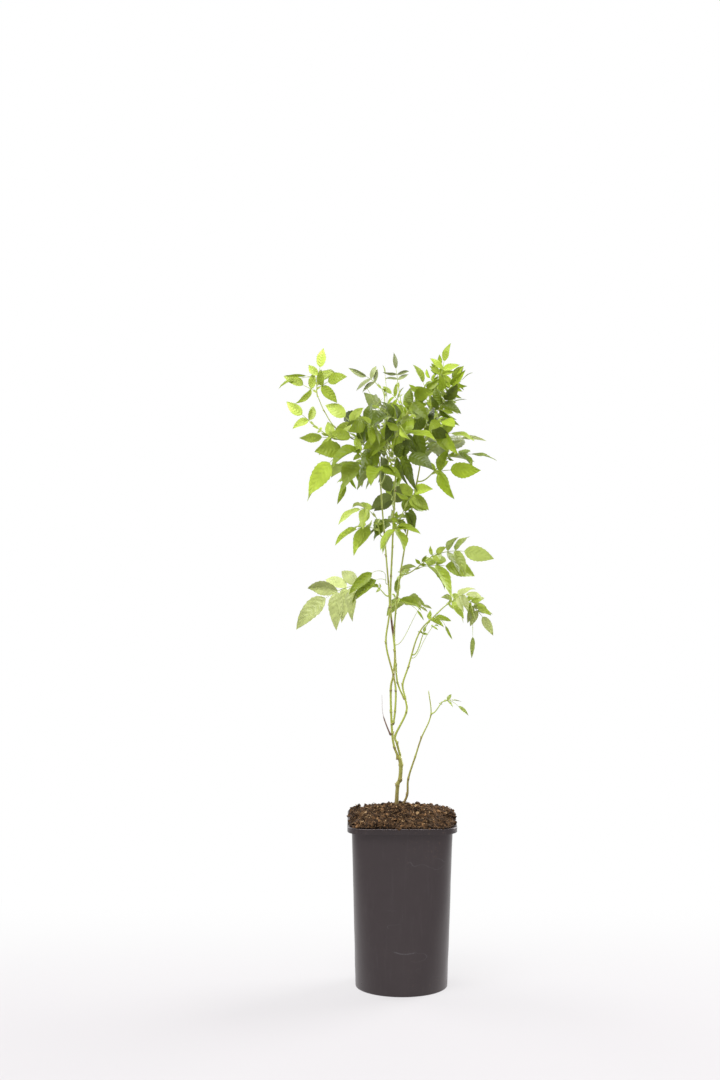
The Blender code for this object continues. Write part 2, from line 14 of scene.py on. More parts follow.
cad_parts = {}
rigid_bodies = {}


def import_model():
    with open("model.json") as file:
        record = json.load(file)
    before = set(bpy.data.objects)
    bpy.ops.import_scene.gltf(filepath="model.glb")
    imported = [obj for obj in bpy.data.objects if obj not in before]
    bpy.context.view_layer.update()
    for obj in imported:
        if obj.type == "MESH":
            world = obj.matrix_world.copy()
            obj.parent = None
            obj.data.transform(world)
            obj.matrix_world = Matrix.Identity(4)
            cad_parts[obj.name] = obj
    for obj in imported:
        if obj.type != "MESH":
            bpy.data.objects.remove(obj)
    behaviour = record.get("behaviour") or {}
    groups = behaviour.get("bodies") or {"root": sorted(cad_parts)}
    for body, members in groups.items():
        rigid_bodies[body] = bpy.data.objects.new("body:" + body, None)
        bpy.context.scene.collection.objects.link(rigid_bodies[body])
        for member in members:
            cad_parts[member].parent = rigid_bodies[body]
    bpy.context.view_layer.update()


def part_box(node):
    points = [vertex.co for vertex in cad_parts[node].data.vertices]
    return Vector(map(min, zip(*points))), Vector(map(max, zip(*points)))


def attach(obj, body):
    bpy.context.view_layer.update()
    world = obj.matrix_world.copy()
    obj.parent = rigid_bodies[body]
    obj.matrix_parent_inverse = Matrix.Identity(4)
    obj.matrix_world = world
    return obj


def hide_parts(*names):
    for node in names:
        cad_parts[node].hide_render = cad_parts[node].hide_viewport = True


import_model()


# ---- Pot ----
# The pot is moulded in one shot from recycled charcoal polypropylene. Its foot is round, its mouth
# is a square with rounded corners, and the edge of the mouth is folded out and down as a stiff
# rim.

POT_FOOT, POT_TOP, POT_CORNER, POT_HEIGHT = 0.0585, 0.063, 0.017, 0.215
POT_WALL, POT_FLOOR, POT_MIDDLE = 0.0012, 0.0015, 0.004
RECESS_HEIGHT, RECESS_HALF, FOOT_RING_HALF = 0.0005, 0.050, 0.052
RIM_HALF, RIM_CORNER, RIM_DROP, RIM_SHEET = 0.0685, 0.0215, 0.007, 0.0012
DRAIN_COUNT, DRAIN_RADIUS, DRAIN_RING, DRAIN_SIDES = 8, 0.004, 0.042, 24
DRAIN_ENDS = (-0.002, 0.004)
POT_SIDES, POT_SPACING, POT_BOW, SHARP_ANGLE = 224, 0.004, 0.00022, 40
CHARCOAL_DARK, CHARCOAL_LIGHT = (0.0165, 0.0128, 0.0134), (0.0235, 0.0186, 0.0192)
# The next line's first colour is painted shade, which darkens the rim band; its second is rubbed
# wear.
RIM_PAINTED_SHADE, RUBBED = (0.006, 0.004, 0.004), (0.045, 0.040, 0.042)
DUSTY, SCRATCHED = (0.09, 0.060, 0.04), (0.12, 0.12, 0.13)
SMILE_X, SMILE_HEIGHT, SMILE_CURVE = 0.004, 0.0535, 14


class Signal:
    """One output of a shader node that Python can calculate with: each operator adds its Math
    node."""

    def __init__(self, finish, socket):
        self.finish = finish
        self.socket = socket

    def math(self, operation, *values):
        return self.finish.node("ShaderNodeMath", {"operation": operation}, values)

    def __add__(self, other):
        return self.math("ADD", self, other)

    def __sub__(self, other):
        return self.math("SUBTRACT", self, other)

    def __rsub__(self, other):
        return self.math("SUBTRACT", other, self)

    def __mul__(self, other):
        return self.math("MULTIPLY", self, other)

    def __pow__(self, other):
        return self.math("POWER", self, other)

    def __abs__(self):
        return self.math("ABSOLUTE", self)

    def larger(self, other):
        return self.math("MAXIMUM", self, other)

    def cosine(self):
        return self.math("COSINE", self)

    def between(self, low, high):
        """0 below low and 1 above high, eased between them. low may be the larger one."""
        return self.finish.node("ShaderNodeMapRange", {"interpolation_type": "SMOOTHSTEP"},
                                {"Value": self, "From Min": low, "From Max": high})

    __radd__ = __add__
    __rmul__ = __mul__


class Nodes:
    """A tree of shader nodes in the making."""

    def __init__(self, tree):
        self.tree = tree

    def fill(self, made, inputs):
        """Gives a node's sockets, by name or by number, their values or their links."""
        for key, value in inputs.items():
            if isinstance(value, Signal):
                self.tree.links.new(value.socket, made.inputs[key])
            elif isinstance(value, tuple) and len(value) == 3 and made.inputs[key].type == "RGBA":
                made.inputs[key].default_value = (*value, 1.0)
            else:
                made.inputs[key].default_value = value

    def node(self, kind, settings=None, inputs=(), output=0):
        """Adds a node of any type, with its settings first and then its sockets."""
        made = self.tree.nodes.new(kind)
        for key, value in (settings or {}).items():
            setattr(made, key, value)
        self.fill(made, inputs if isinstance(inputs, dict) else dict(enumerate(inputs)))
        return Signal(self, made.outputs[output])

    def mix(self, share, first, second):
        """The first colour where share is 0 and the second where it is 1."""
        return self.node("ShaderNodeMix", {"data_type": "RGBA"}, {0: share, 6: first, 7: second}, 2)


class Finish(Nodes):
    """A material in the making. What varies over the surface is fed to its Principled shader, and
    every other number sits on the shader's own socket."""

    def __init__(self, name, colour, roughness, **constants):
        self.material = bpy.data.materials.new(name)
        self.material.use_nodes = True
        super().__init__(self.material.node_tree)
        self.shader = self.tree.nodes["Principled BSDF"]
        self.fill(self.shader, {"Base Color": colour, "Roughness": roughness, **constants})

    def place(self):
        """The piece's own Object coordinates."""
        return self.node("ShaderNodeTexCoord", output="Object")

    def along(self, axis):
        """One of the Object coordinates, by its letter."""
        return self.node("ShaderNodeSeparateXYZ", None, (self.place(),), axis)

    def stretched(self, x, y, z):
        """Object coordinates multiplied along each axis."""
        return self.node("ShaderNodeVectorMath", {"operation": "MULTIPLY"},
                         (self.place(), (x, y, z)))

    def mark(self, name):
        """The piece's own attribute of this name."""
        return self.node("ShaderNodeAttribute", {"attribute_name": name}, (), "Fac")

    def noise(self, scale, detail=3.0, roughness=0.5, at=None):
        """Noise between 0 and 1, with its grain at this scale in each metre."""
        return self.node("ShaderNodeTexNoise", None,
                         {"Vector": at or self.place(), "Scale": scale, "Detail": detail,
                          "Roughness": roughness})

    def vary(self, colour, roughness, relief=None, depth=0.0):
        """Feeds the shader. relief is a height from 0 to 1 that the surface takes over depth
        metres."""
        self.fill(self.shader, {"Base Color": colour, "Roughness": roughness})
        if relief is not None:
            bump = self.node("ShaderNodeBump", None, {"Distance": depth, "Height": relief})
            self.fill(self.shader, {"Normal": bump})
        return self.material

    def blend(self, share, other):
        """Shows another shader instead of the Principled one, by share."""
        own = Signal(self, self.shader.outputs[0])
        both = self.node("ShaderNodeMixShader", None, {0: share, 1: own, 2: other})
        self.fill(self.tree.nodes["Material Output"], {"Surface": both})
        return self.material


def turns_of(count):
    """Evenly spaced directions round a full turn, in radians."""
    return 2 * math.pi * np.arange(count) / count


def square_ring(half, corner, angles):
    """Radius of a square with rounded corners in each direction: half over the cosine on the flat
    sides, and the distance to the corner's arc round the corners. The arguments broadcast."""
    folded = np.abs((angles + math.pi / 4) % (math.pi / 2) - math.pi / 4)
    inset = half - corner
    under = corner ** 2 - inset ** 2 * (np.cos(folded) - np.sin(folded)) ** 2
    turned = inset * (np.cos(folded) + np.sin(folded)) + np.sqrt(np.maximum(under, 0.0))
    return np.where(half * np.tan(folded) <= inset, half / np.cos(folded), turned)


def level_rings(radius, angles, z):
    """Points at a radius in each direction, at the height of each row."""
    x, y = radius * np.cos(angles), radius * np.sin(angles)
    return np.stack(np.broadcast_arrays(x, y, z), 2)


def eased_profile(edges, spacing):
    """A line through edges, each cut back to either side by its own last number and rounded there
    as a parabola, with points no farther apart than spacing on the straights between."""
    edges = np.asarray(edges, float)
    corners, soften = edges[:, :-1], edges[1:-1, -1]

    def straight(start, end):
        return np.linspace(start, end, 1 + int(np.ceil(np.linalg.norm(end - start) / spacing)))[1:]

    t = np.linspace(0, 1, 5)[1:, None]
    found = [corners[:1]]
    for before, at, after, cut in zip(corners, corners[1:], corners[2:], soften):
        near = at + (before - at) * cut / np.linalg.norm(before - at)
        far = at + (after - at) * cut / np.linalg.norm(after - at)
        found += [straight(found[-1][-1], near),
                  (1 - t) ** 2 * near + 2 * t * (1 - t) * at + t ** 2 * far]
    return np.vstack([*found, straight(found[-1][-1], corners[-1])])


def smooth_noise(x, y, seed):
    """Value noise between -1 and 1: random heights at whole numbers, eased between by 3t^2 -
    2t^3."""
    table = np.random.default_rng(seed).uniform(-1, 1, (64, 64))
    i, j = np.floor(x).astype(int), np.floor(y).astype(int)
    s, t = x - i, y - j
    s, t = s * s * (3 - 2 * s), t * t * (3 - 2 * t)
    low = table[i % 64, j % 64] * (1 - s) + table[(i + 1) % 64, j % 64] * s
    high = table[i % 64, (j + 1) % 64] * (1 - s) + table[(i + 1) % 64, (j + 1) % 64] * s
    return low * (1 - t) + high * t


def closed_skin(rings):
    """Points and groups of faces of the closed skin through an array of rings (rows, columns, 3),
    each anticlockwise seen from ahead. The end rings are closed by a fan on their middle
    points."""
    rows, columns, _ = rings.shape
    i = np.arange(columns)
    j = (i + 1) % columns
    first = (columns * np.arange(rows - 1))[:, None]
    quads = np.stack([first + i, first + j, first + columns + j, first + columns + i], 2)
    foot, tip, last = 0 * i + rows * columns, 0 * i + rows * columns + 1, columns * (rows - 1)
    fans = np.vstack([np.stack([foot, j, i], 1), np.stack([tip, last + i, last + j], 1)])
    points = np.vstack([rings.reshape(-1, 3), rings[0].mean(0), rings[-1].mean(0)])
    return points, [quads.reshape(-1, 4), fans]


def joined(skins):
    """The points and groups of faces of many skins as one mesh's."""
    starts = np.cumsum([0] + [len(points) for points, _ in skins])
    faces = [group + start for (_, groups), start in zip(skins, starts) for group in groups]
    return np.vstack([points for points, _ in skins]), faces


def piece_of(name, points, faces, finishes, smooth_angle=None, marks=None, slots=None, maps=None):
    """A mesh object at the origin from an array of points and groups of faces. marks are values at
    the points by attribute name, slots the material of each face, and maps the UV of each
    corner."""
    mesh = bpy.data.meshes.new(name)
    loops = [face for group in faces for face in np.asarray(group).tolist()]
    mesh.from_pydata(points.tolist(), [], loops)
    for finish in finishes:
        mesh.materials.append(finish)
    for mark, values in (marks or {}).items():
        layer = mesh.attributes.new(mark, "FLOAT", "POINT")
        layer.data.foreach_set("value", np.asarray(values, np.float32))
    if slots is not None:
        mesh.polygons.foreach_set("material_index", np.asarray(slots, np.int32))
    if maps is not None:
        layer = mesh.uv_layers.new(name="Blade")
        layer.data.foreach_set("uv", np.asarray(maps, np.float32).ravel())
    mesh.validate()
    made = bpy.data.objects.new(name, mesh)
    bpy.context.scene.collection.objects.link(made)
    if smooth_angle:
        mesh.shade_smooth()
        mesh.set_sharp_from_angle(angle=math.radians(smooth_angle))
    return made


def pot_skin():
    """The pot's skin: each row is a ring between round and square, from the middle of the
    underside up the outer wall, over the rim and down the inner wall to the middle of the floor.
    The outer wall bows by a fraction of a millimetre of smooth noise, as thin moulded walls do."""
    under, lip = POT_HEIGHT - RIM_SHEET, POT_HEIGHT - RIM_DROP
    fold, fold_corner = RIM_HALF - RIM_SHEET, RIM_CORNER - RIM_SHEET
    # Half width, corner radius and height of each edge, and how far it is eased.
    profile = eased_profile([
        (POT_MIDDLE, POT_MIDDLE, RECESS_HEIGHT, 0),
        (RECESS_HALF, RECESS_HALF, RECESS_HEIGHT, 0.0008),
        (FOOT_RING_HALF, FOOT_RING_HALF, 0, 0.0004),
        (POT_FOOT, POT_FOOT, 0, 0.0011),
        (POT_TOP, POT_CORNER, under, 0.0006),
        (fold, fold_corner, under, 0.0005),
        (fold, fold_corner, lip, 0.0003),
        (RIM_HALF, RIM_CORNER, lip, 0.0003),
        (RIM_HALF, RIM_CORNER, POT_HEIGHT, 0.0009),
        (POT_TOP - POT_WALL, POT_CORNER - POT_WALL, POT_HEIGHT, 0.0005),
        (POT_FOOT - POT_WALL, POT_FOOT - POT_WALL, POT_FLOOR, 0.0010),
        (POT_MIDDLE, POT_MIDDLE, POT_FLOOR, 0)], POT_SPACING)
    angles = turns_of(POT_SIDES)
    half, corner, z = (column[:, None] for column in profile.T)
    radius = square_ring(half, np.minimum(corner, half), angles)
    top_row = np.argmax(profile[:, 2] > POT_HEIGHT - 1.5 * RIM_SHEET)
    outside = np.arange(len(profile))[:, None] < top_row
    bow = POT_BOW * smooth_noise(angles * 14 / math.pi, z * 35 + 3, 4)
    radius = radius + bow * outside * np.clip((z - 0.004) / 0.03, 0, 1)
    return closed_skin(level_rings(radius, angles, z))


def drilled(pot):
    """The pot with round drain holes cut through its floor, and its edges kept sharp past 40
    degrees."""
    cutters = bpy.data.collections.new("drain_cutters")
    around = turns_of(DRAIN_SIDES)
    for k, turn in enumerate(turns_of(DRAIN_COUNT)):
        x = DRAIN_RING * math.cos(turn) + DRAIN_RADIUS * np.cos(around)
        y = DRAIN_RING * math.sin(turn) + DRAIN_RADIUS * np.sin(around)
        ends = [np.stack([x, y, np.full(DRAIN_SIDES, level)], 1) for level in DRAIN_ENDS]
        cutter = piece_of(f"drain_{k}", *closed_skin(np.array(ends)), ())
        bpy.context.scene.collection.objects.unlink(cutter)
        cutters.objects.link(cutter)
    cut = pot.modifiers.new("drains", "BOOLEAN")
    cut.operation = "DIFFERENCE"
    cut.operand_type = "COLLECTION"
    cut.collection = cutters
    graph = bpy.context.evaluated_depsgraph_get()
    whole = bpy.data.meshes.new_from_object(pot.evaluated_get(graph))
    pot.modifiers.clear()
    pot.data = whole
    for cutter in list(cutters.objects):
        bpy.data.meshes.remove(cutter.data)
    bpy.data.collections.remove(cutters)
    whole.shade_smooth()
    whole.set_sharp_from_angle(angle=math.radians(SHARP_ANGLE))
    return pot


def pot_plastic():
    """Charcoal plastic with a satin skin: mottled, rubbed paler in upright streaks, finely
    scratched, with one smile-shaped scratch low on the front, and dusty with peat at the foot and
    the rim. The rim band is painted darker: painted shade for the darker reflection of the glossy
    rim."""
    made = Finish("pot_plastic", (0.020, 0.016, 0.017), 0.30,
                  **{"Specular Tint": (1.0, 0.88, 0.90), "Specular IOR Level": 0.6})
    x, y, height = (made.along(axis) for axis in "XYZ")
    mottle = made.noise(55, 4)
    rub = made.noise(30, 4, 0.6, made.stretched(9, 9, 0.7))
    fine = abs(made.noise(22, 2, 0.4, made.stretched(1, 1, 2.2)) - 0.5).between(0.0045, 0.001)
    fine = fine * made.noise(20, 1).between(0.62, 0.68)
    aside = x - SMILE_X
    smile = abs(height - (aside ** 2.0 * SMILE_CURVE + SMILE_HEIGHT + made.noise(90, 2) * 0.003))
    smile = smile.between(0.0011, 0.0003) * abs(aside).between(0.018, 0.011)
    smile = smile * y.between(-0.02, -0.04)
    scratch = fine.larger(smile * made.noise(160, 2).between(0.35, 0.55))
    dust = made.noise(300, 3, 0.7).between(0.55, 0.75) * made.noise(26, 2).between(0.42, 0.70)
    dust = dust * (height.between(0.15, 0.21) + height.between(0.03, 0.0) + 0.25)
    colour = made.mix(mottle, CHARCOAL_DARK, CHARCOAL_LIGHT)
    # Painted shade: the rim band is darkened, standing in for the darker reflection of the glossy
    # rim.
    colour = made.mix(height.between(0.206, 0.209) * 0.6, colour, RIM_PAINTED_SHADE)
    colour = made.mix(rub.between(0.50, 0.80) * 0.25, colour, RUBBED)
    colour = made.mix(dust * 0.55, colour, DUSTY)
    colour = made.mix(scratch * 0.30, colour, SCRATCHED)
    rough = 0.25 + mottle * 0.10 + rub.between(0.45, 0.8) * 0.08 + dust * 0.3
    return made.vary(colour, rough, made.noise(900, 2) * 0.5 + rub * 0.5, 0.00006)


pot = drilled(piece_of("pot_shell", *pot_skin(), (pot_plastic(),)))
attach(pot, "root")
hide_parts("pot")


# ---- Peat ----
# The pot is filled with coarse fibrous peat, heaped a little above the rim and spilling onto it.
# It is dark brown, with redder crumbs, pale fibres and a few chips of bark, loose on the surface.

SOIL_EDGE, SOIL_EDGE_CORNER, SOIL_EDGE_TOP, SOIL_TOP = 0.0655, 0.019, 0.2175, 0.2312
SOIL_PAD, SOIL_PAD_X, GAP = 0.012, -0.0025, 0.0003
HEAP_SIDES, HEAP_ROWS, PAD_ROWS, PLUG_SPACING = 300, 74, 16, 0.012
LUMP_COUNT, LUMP_SMALL, LUMP_SWING, LUMP_SINK = 420, 0.0018, 0.0044, 0.0030


def heap(share, angles):
    """Points of the heap: rings that shrink from the rim to the pad under the stems as share goes
    from 0 to 1, while their height rises as its power 0.7. Beyond 1 the pad closes, level."""
    ease = np.minimum(share, 1.0)
    half = SOIL_EDGE + (SOIL_PAD - SOIL_EDGE) * ease
    corner = SOIL_EDGE_CORNER + (SOIL_PAD - SOIL_EDGE_CORNER) * ease
    radius = square_ring(half, corner, angles) * np.clip(2.0 - share, 0.0, 1.0)
    z = SOIL_EDGE_TOP + (SOIL_TOP - SOIL_EDGE_TOP) * np.maximum(ease, 0) ** 0.7
    x = radius * np.cos(angles) + SOIL_PAD_X * ease
    return np.stack(np.broadcast_arrays(x, radius * np.sin(angles), z), -1)


def crumbly(points, lumps):
    """Height of the peat over the heap: the highest of many domes, h times the root of 1 - d^2/r^2
    round each lump's middle, on three sizes of smooth noise."""
    x, y = points[..., 0], points[..., 1]
    domes = np.zeros(x.shape)
    for middle_x, middle_y, radius in lumps:
        apart = ((x - middle_x) ** 2 + (y - middle_y) ** 2) / radius ** 2
        domes = np.maximum(domes, 0.72 * radius * np.sqrt(np.clip(1 - apart, 0, 1)))
    rough = 0.0013 * smooth_noise(x * 110, y * 110, 7) + 0.0008 * smooth_noise(x * 260, y * 260, 8)
    return domes + rough + 0.0005 * smooth_noise(x * 700, y * 700, 9) - LUMP_SINK


def peat_skin():
    """The lumps of the heap, and the plug's skin: from the middle of its underside up the wall,
    out over the rim and in over the crumbled heap to its middle."""
    spread = np.random.default_rng(21).uniform(0, 1, (LUMP_COUNT, 3))
    spots = heap(1.9 * spread[:, 0] ** 1.3, 2 * math.pi * spread[:, 1])
    lumps = np.column_stack([spots[:, :2], LUMP_SMALL + LUMP_SWING * spread[:, 2] ** 1.6])
    angles = turns_of(HEAP_SIDES)
    cut = POT_WALL + GAP
    wall = eased_profile([
        (POT_MIDDLE, POT_MIDDLE, POT_FLOOR + GAP, 0),
        (POT_FOOT - cut, POT_FOOT - cut, POT_FLOOR + GAP, 0.001),
        (POT_TOP - POT_WALL - GAP, POT_CORNER - cut, POT_HEIGHT + GAP, 0.0004),
        (SOIL_EDGE - 0.001, SOIL_EDGE_CORNER - 0.001, POT_HEIGHT + GAP, 0)], PLUG_SPACING)
    half, corner, z = (column[:, None] for column in wall.T)
    plug = level_rings(square_ring(half, np.minimum(corner, half), angles), angles, z)
    share = np.append(np.linspace(0, 1, HEAP_ROWS), np.linspace(1, 1.97, PAD_ROWS)[1:])[:, None]
    top = heap(share, angles)
    ragged = 1 + (0.012 * smooth_noise(angles * 16 / math.pi, 0 * angles, 5)
                  + 0.010 * smooth_noise(angles * 44 / math.pi, 0 * angles, 6) - 0.006)
    top[..., :2] *= 1 + (ragged[:, None] - 1) * np.clip(1 - 9 * share, 0, 1)[..., None]
    top[..., 2] += crumbly(top, lumps) * np.clip(0.25 + 9 * share, 0, 1)
    return lumps, closed_skin(np.vstack([plug, top]))


def peat_finish(name, dark, light):
    """Peat of two browns in fine clots, dull all over, with broad darker patches of painted
    shade.
    """
    made = Finish(name, dark, 0.95, **{"Specular IOR Level": 0.12})
    clots = made.noise(300, 5, 0.7)
    strands = made.noise(900, 3, 0.6, made.stretched(1, 1, 0.4))
    colour = made.mix(clots.between(0.38, 0.64), dark, light)
    # Painted shade: broad darker patches from noise stand in for the shadows in the gaps between
    # clods.
    painted_shade = tuple(0.55 * part for part in dark)
    colour = made.mix(made.noise(130, 2).between(0.56, 0.44) * 0.6, colour, painted_shade)
    return made.vary(colour, 0.86 + clots * 0.12, clots * 0.6 + strands * 0.4, 0.0009)


lumps, (points, faces) = peat_skin()
peat_dark = peat_finish("peat_dark", (0.012, 0.0062, 0.0033), (0.110, 0.060, 0.027))
peat_red = peat_finish("peat_red", (0.050, 0.025, 0.011), (0.240, 0.132, 0.058))
peat_tan = peat_finish("peat_tan", (0.230, 0.140, 0.065), (0.55, 0.38, 0.20))
peat = piece_of("peat_heap", points, faces, (peat_dark,), 70)
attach(peat, "root")
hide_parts("soil")

# Loose crumbs: each is a twenty-faced lump with its corners pushed in and out, squashed, turned
# and sunk by half into the heap. Chips are the same lump pressed flat and drawn out.


def turned(count, chance):
    """Random rotations, as the matrices of unit quaternions drawn evenly over the sphere."""
    a, b, c, d = (lambda q: q / np.linalg.norm(q, axis=0))(chance.normal(size=(4, count)))
    return np.array([[a * a + b * b - c * c - d * d, 2 * (b * c - a * d), 2 * (b * d + a * c)],
                     [2 * (b * c + a * d), a * a - b * b + c * c - d * d, 2 * (c * d - a * b)],
                     [2 * (b * d - a * c), 2 * (c * d + a * b), a * a - b * b - c * c + d * d]]
                    ).transpose(2, 0, 1)


def icosahedron():
    """The twelve corners (0, 1, golden ratio) in each order and sign, and the twenty faces whose
    corners lie two apart."""
    golden = (1 + math.sqrt(5)) / 2
    corners = np.array([np.roll((0, a, b * golden), k)
                        for k in range(3) for a in (1, -1) for b in (1, -1)])
    near = np.isclose(np.linalg.norm(corners[:, None] - corners[None], axis=2), 2)
    faces = [(i, j, k) for i in range(12) for j in range(i + 1, 12) for k in range(j + 1, 12)
             if near[i, j] and near[j, k] and near[i, k]]
    outward = [face if np.linalg.det(corners[list(face)]) > 0 else face[::-1] for face in faces]
    return corners / np.linalg.norm(corners[0]), np.array(outward)


def scattered(count, outermost, innermost, small, large, flat, seed):
    """Points and faces of count lumps strewn over the heap between two shares of the way in, with
    radii that favour the small end."""
    chance = np.random.default_rng(seed)
    corners, faces = icosahedron()
    draw = chance.uniform(0, 1, (count, 3))
    spots = heap(outermost + (innermost - outermost) * draw[:, 0], 2 * math.pi * draw[:, 1])
    spots[:, 2] += crumbly(spots, lumps) + 0.0002
    radius = small + (large - small) * draw[:, 2] ** 2.5
    shape = corners * chance.uniform(0.65, 1.15, (count, 12, 1)) * np.array((1.25, 0.95, flat))
    body = np.einsum("nij,nkj->nki", turned(count, chance), shape) * radius[:, None, None]
    points = (body + spots[:, None]).reshape(-1, 3)
    return points, [(faces[None] + 12 * np.arange(count)[:, None, None]).reshape(-1, 3)]


# Count, two shares of the way in, smallest and largest radius, flatness and seed of each batch.
for name, finish, batches in (
        ("peat_crumbs_dark", peat_dark, ((1000, -0.02, 1.9, 0.0007, 0.0032, 0.85, 31),
                                         (330, -0.03, 0.14, 0.0009, 0.0038, 0.85, 32))),
        ("peat_crumbs_red", peat_red, ((1000, -0.01, 1.8, 0.0006, 0.0030, 0.75, 33),)),
        ("bark_chips", peat_tan, ((380, 0.0, 1.7, 0.0006, 0.0025, 0.35, 34),))):
    crumbs = piece_of(name, *joined([scattered(*batch) for batch in batches]), (finish,), 50)
    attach(crumbs, "root")
    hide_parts("soil")

# Fibres of peat and old root: thin three-sided tubes that arch over the crumbs.


def fibre_skins(count, seed):
    """Each fibre's line bends sideways and up as sines of the way along it, and its three-sided
    tube tapers to both ends."""
    draw = np.random.default_rng(seed).uniform(0, 1, (count, 6))
    start = heap(1.7 * draw[:, 0], 2 * math.pi * draw[:, 1])
    start[:, 2] += crumbly(start, lumps)
    heading = 2 * math.pi * draw[:, 2]
    length = 0.003 + 0.009 * draw[:, 3] ** 2
    t = np.linspace(-0.5, 0.5, 6)
    ahead = np.stack([np.cos(heading), np.sin(heading), 0 * heading], 1)
    aside = np.stack([-np.sin(heading), np.cos(heading), 0 * heading], 1)
    sway = 0.4 * length * (draw[:, 5] - 0.5)
    line = (start[:, None] + length[:, None, None] * t[None, :, None] * ahead[:, None]
            + sway[:, None, None] * np.sin(2.2 * math.pi * t)[None, :, None] * aside[:, None])
    rise = 0.0010 + 0.16 * length * draw[:, 4]
    line[..., 2] += 0.0002 + rise[:, None] * np.cos(math.pi * t)
    line[..., :2] *= np.minimum(1, 0.066 / np.abs(line[..., :2]).max(-1, keepdims=True))
    radius = (0.00008 + 0.00014 * draw[:, 4])[:, None] * (0.35 + np.cos(math.pi * t))[None]
    turns = turns_of(3)
    ring = np.cos(turns)[:, None] * aside[:, None, None] + np.outer(np.sin(turns), (0.0, 0.0, 1.0))
    return [closed_skin(rings) for rings in line[:, :, None] + radius[:, :, None, None] * ring]


for name, finish, count, seed in (("fibres_pale", peat_tan, 260, 41),
                                  ("fibres_brown", peat_red, 420, 42)):
    fibres = piece_of(name, *joined(fibre_skins(count, seed)), (finish,), 50)
    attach(fibres, "root")
    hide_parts("soil")


# ---- Stems ----
# Seven green stems and one dead snag. A stem of a rose thickens at each node, where a leaf once
# stood over a bud, and its bark turns from olive at the foot to fresh green, brown on the nodes
# and scars.

FLARE_HEIGHT, ROOTED, BARK_SIDES, BARK_SPACING, BARK_STEPS = 0.006, 0.0060, 18, 0.0022, 16
KNOT_HALF, KNOT_RING_HALF, KNOT_BROWN_HALF = 0.0021, 0.00035, 0.0010
SNAG_BREAK, SCAR_HEIGHT, SCAR_HALF = 0.343, 0.4600, 0.0095
OLIVE, FRESH_GREEN, PALE_GREEN = (0.165, 0.108, 0.028), (0.300, 0.360, 0.045), (0.40, 0.44, 0.11)
BROWNED, SCAR_BROWN, SPOT_PALE = (0.175, 0.120, 0.026), (0.105, 0.048, 0.022), (0.42, 0.36, 0.20)
DEAD_DARK, DEAD_LIGHT, BLEACHED = (0.075, 0.036, 0.022), (0.24, 0.15, 0.10), (0.46, 0.42, 0.40)
BUD_GREEN, BUD_RED = (0.24, 0.30, 0.06), (0.22, 0.07, 0.035)
LIMB_SIDES, TWIG_SIDES, STALK_SIDES = 6, 4, 3
UP, DOWN = np.array((0.0, 0.0, 1.0)), np.array((0.0, 0.0, -1.0))

Limb = namedtuple("Limb", "name start height heading bends foot tip flare")
LIMBS = (
    Limb("main_stem", "soil", None, None,
         ((-0.66, 0, 0), (-0.49, 0, 25.8), (-0.21, 0, 26.5), (-0.10, 0, 28.4), (-0.38, 0, 29.6)),
         2.2, 2.7, 0.45),
    Limb("left_stem", "fork", None, None,
         ((-0.55, 0, 0), (-0.9, 0, 30.6), (-1.2, 0, 32.4), (-1.4, 0, 37.9), (-1.05, 0, 39.9),
          (-0.88, 0, 42.9), (-1.44, 0, 48.7), (-1.2, 0.4, 56.0), (-0.9, 0.4, 63.0),
          (-0.6, 0.0, 68.5)),
         1.55, 1.0, 0.0),
    Limb("middle_stem", "left_stem", 33.6, 300.0,
         ((-0.85, -0.5, 35.3), (-0.76, -0.5, 37.9), (-1.1, -0.55, 40.0), (-2.01, -0.5, 44.0),
          (-1.55, -0.7, 48.5), (-2.0, -1.0, 55.0), (-2.5, -1.3, 61.0), (-2.9, -1.2, 67.0)),
         1.3, 0.9, 0.0),
    Limb("right_stem", "fork", None, None,
         ((-0.20, 0, 0), (-0.62, -0.25, 31.2), (-0.80, -0.3, 32.2), (0.57, -0.1, 35.1),
          (0.42, 0, 36.9), (0.12, 0, 38.6), (0.8, 0, 40.8), (2.2, 0, 45.2), (4.41, 0, 47.6)),
         1.5, 0.8, 0.0),
    Limb("rear_stem", "right_stem", 36.8, 125.0,
         ((-0.5, 0.65, 38.7), (-0.75, 0.75, 41.0), (-0.9, 0.9, 46.0), (-0.1, 1.2, 53.0),
          (1.3, 1.3, 61.0), (2.4, 1.0, 67.0), (2.9, 0.6, 71.6)),
         1.2, 0.9, 0.0),
    Limb("arching_stem", "middle_stem", None, None,
         ((-3.6, -1.3, 68.2), (-6.3, -1.5, 69.7), (-8.4, -1.8, 71.1), (-9.7, -2.0, 73.1),
          (-10.5, -2.2, 74.9)),
         0.8, 0.55, 0.0),
    Limb("side_stem", "soil", None, None,
         ((0.13, 0, 0), (0.72, 0, 24.6), (0.84, 0, 26.6), (1.71, 0, 29.4), (2.48, 0, 31.8),
          (3.66, 0, 34.7), (3.38, 0, 37.8)),
         1.5, 0.6, 0.2),
    Limb("dead_snag", "left_stem", 32.3, 180.0,
         ((-2.37, 0, 34.8), (-2.5, 0, 37.3)),
         0.9, 0.5, 0.0),
)
LIMB_NAMES = tuple(limb.name for limb in LIMBS)
GREEN_LIMBS = tuple(name for name in LIMB_NAMES if name != "dead_snag")


def unit(vector):
    """The same direction with length one, for one vector or an array of them."""
    vector = np.asarray(vector, float)
    return vector / np.linalg.norm(vector, axis=-1, keepdims=True)


def across(vector, axis):
    """The part of vector at right angles to the unit axis, with length one."""
    return unit(vector - np.sum(vector * axis, -1, keepdims=True) * axis)


def spun(vector, axis, angle):
    """The vector turned about the unit axis by an angle in radians."""
    return (vector * math.cos(angle) + np.cross(axis, vector) * math.sin(angle)
            + axis * np.dot(axis, vector) * (1 - math.cos(angle)))


def heading_of(degrees):
    """The level direction that lies degrees anticlockwise from +X."""
    return np.array((math.cos(math.radians(degrees)), math.sin(math.radians(degrees)), 0.0))


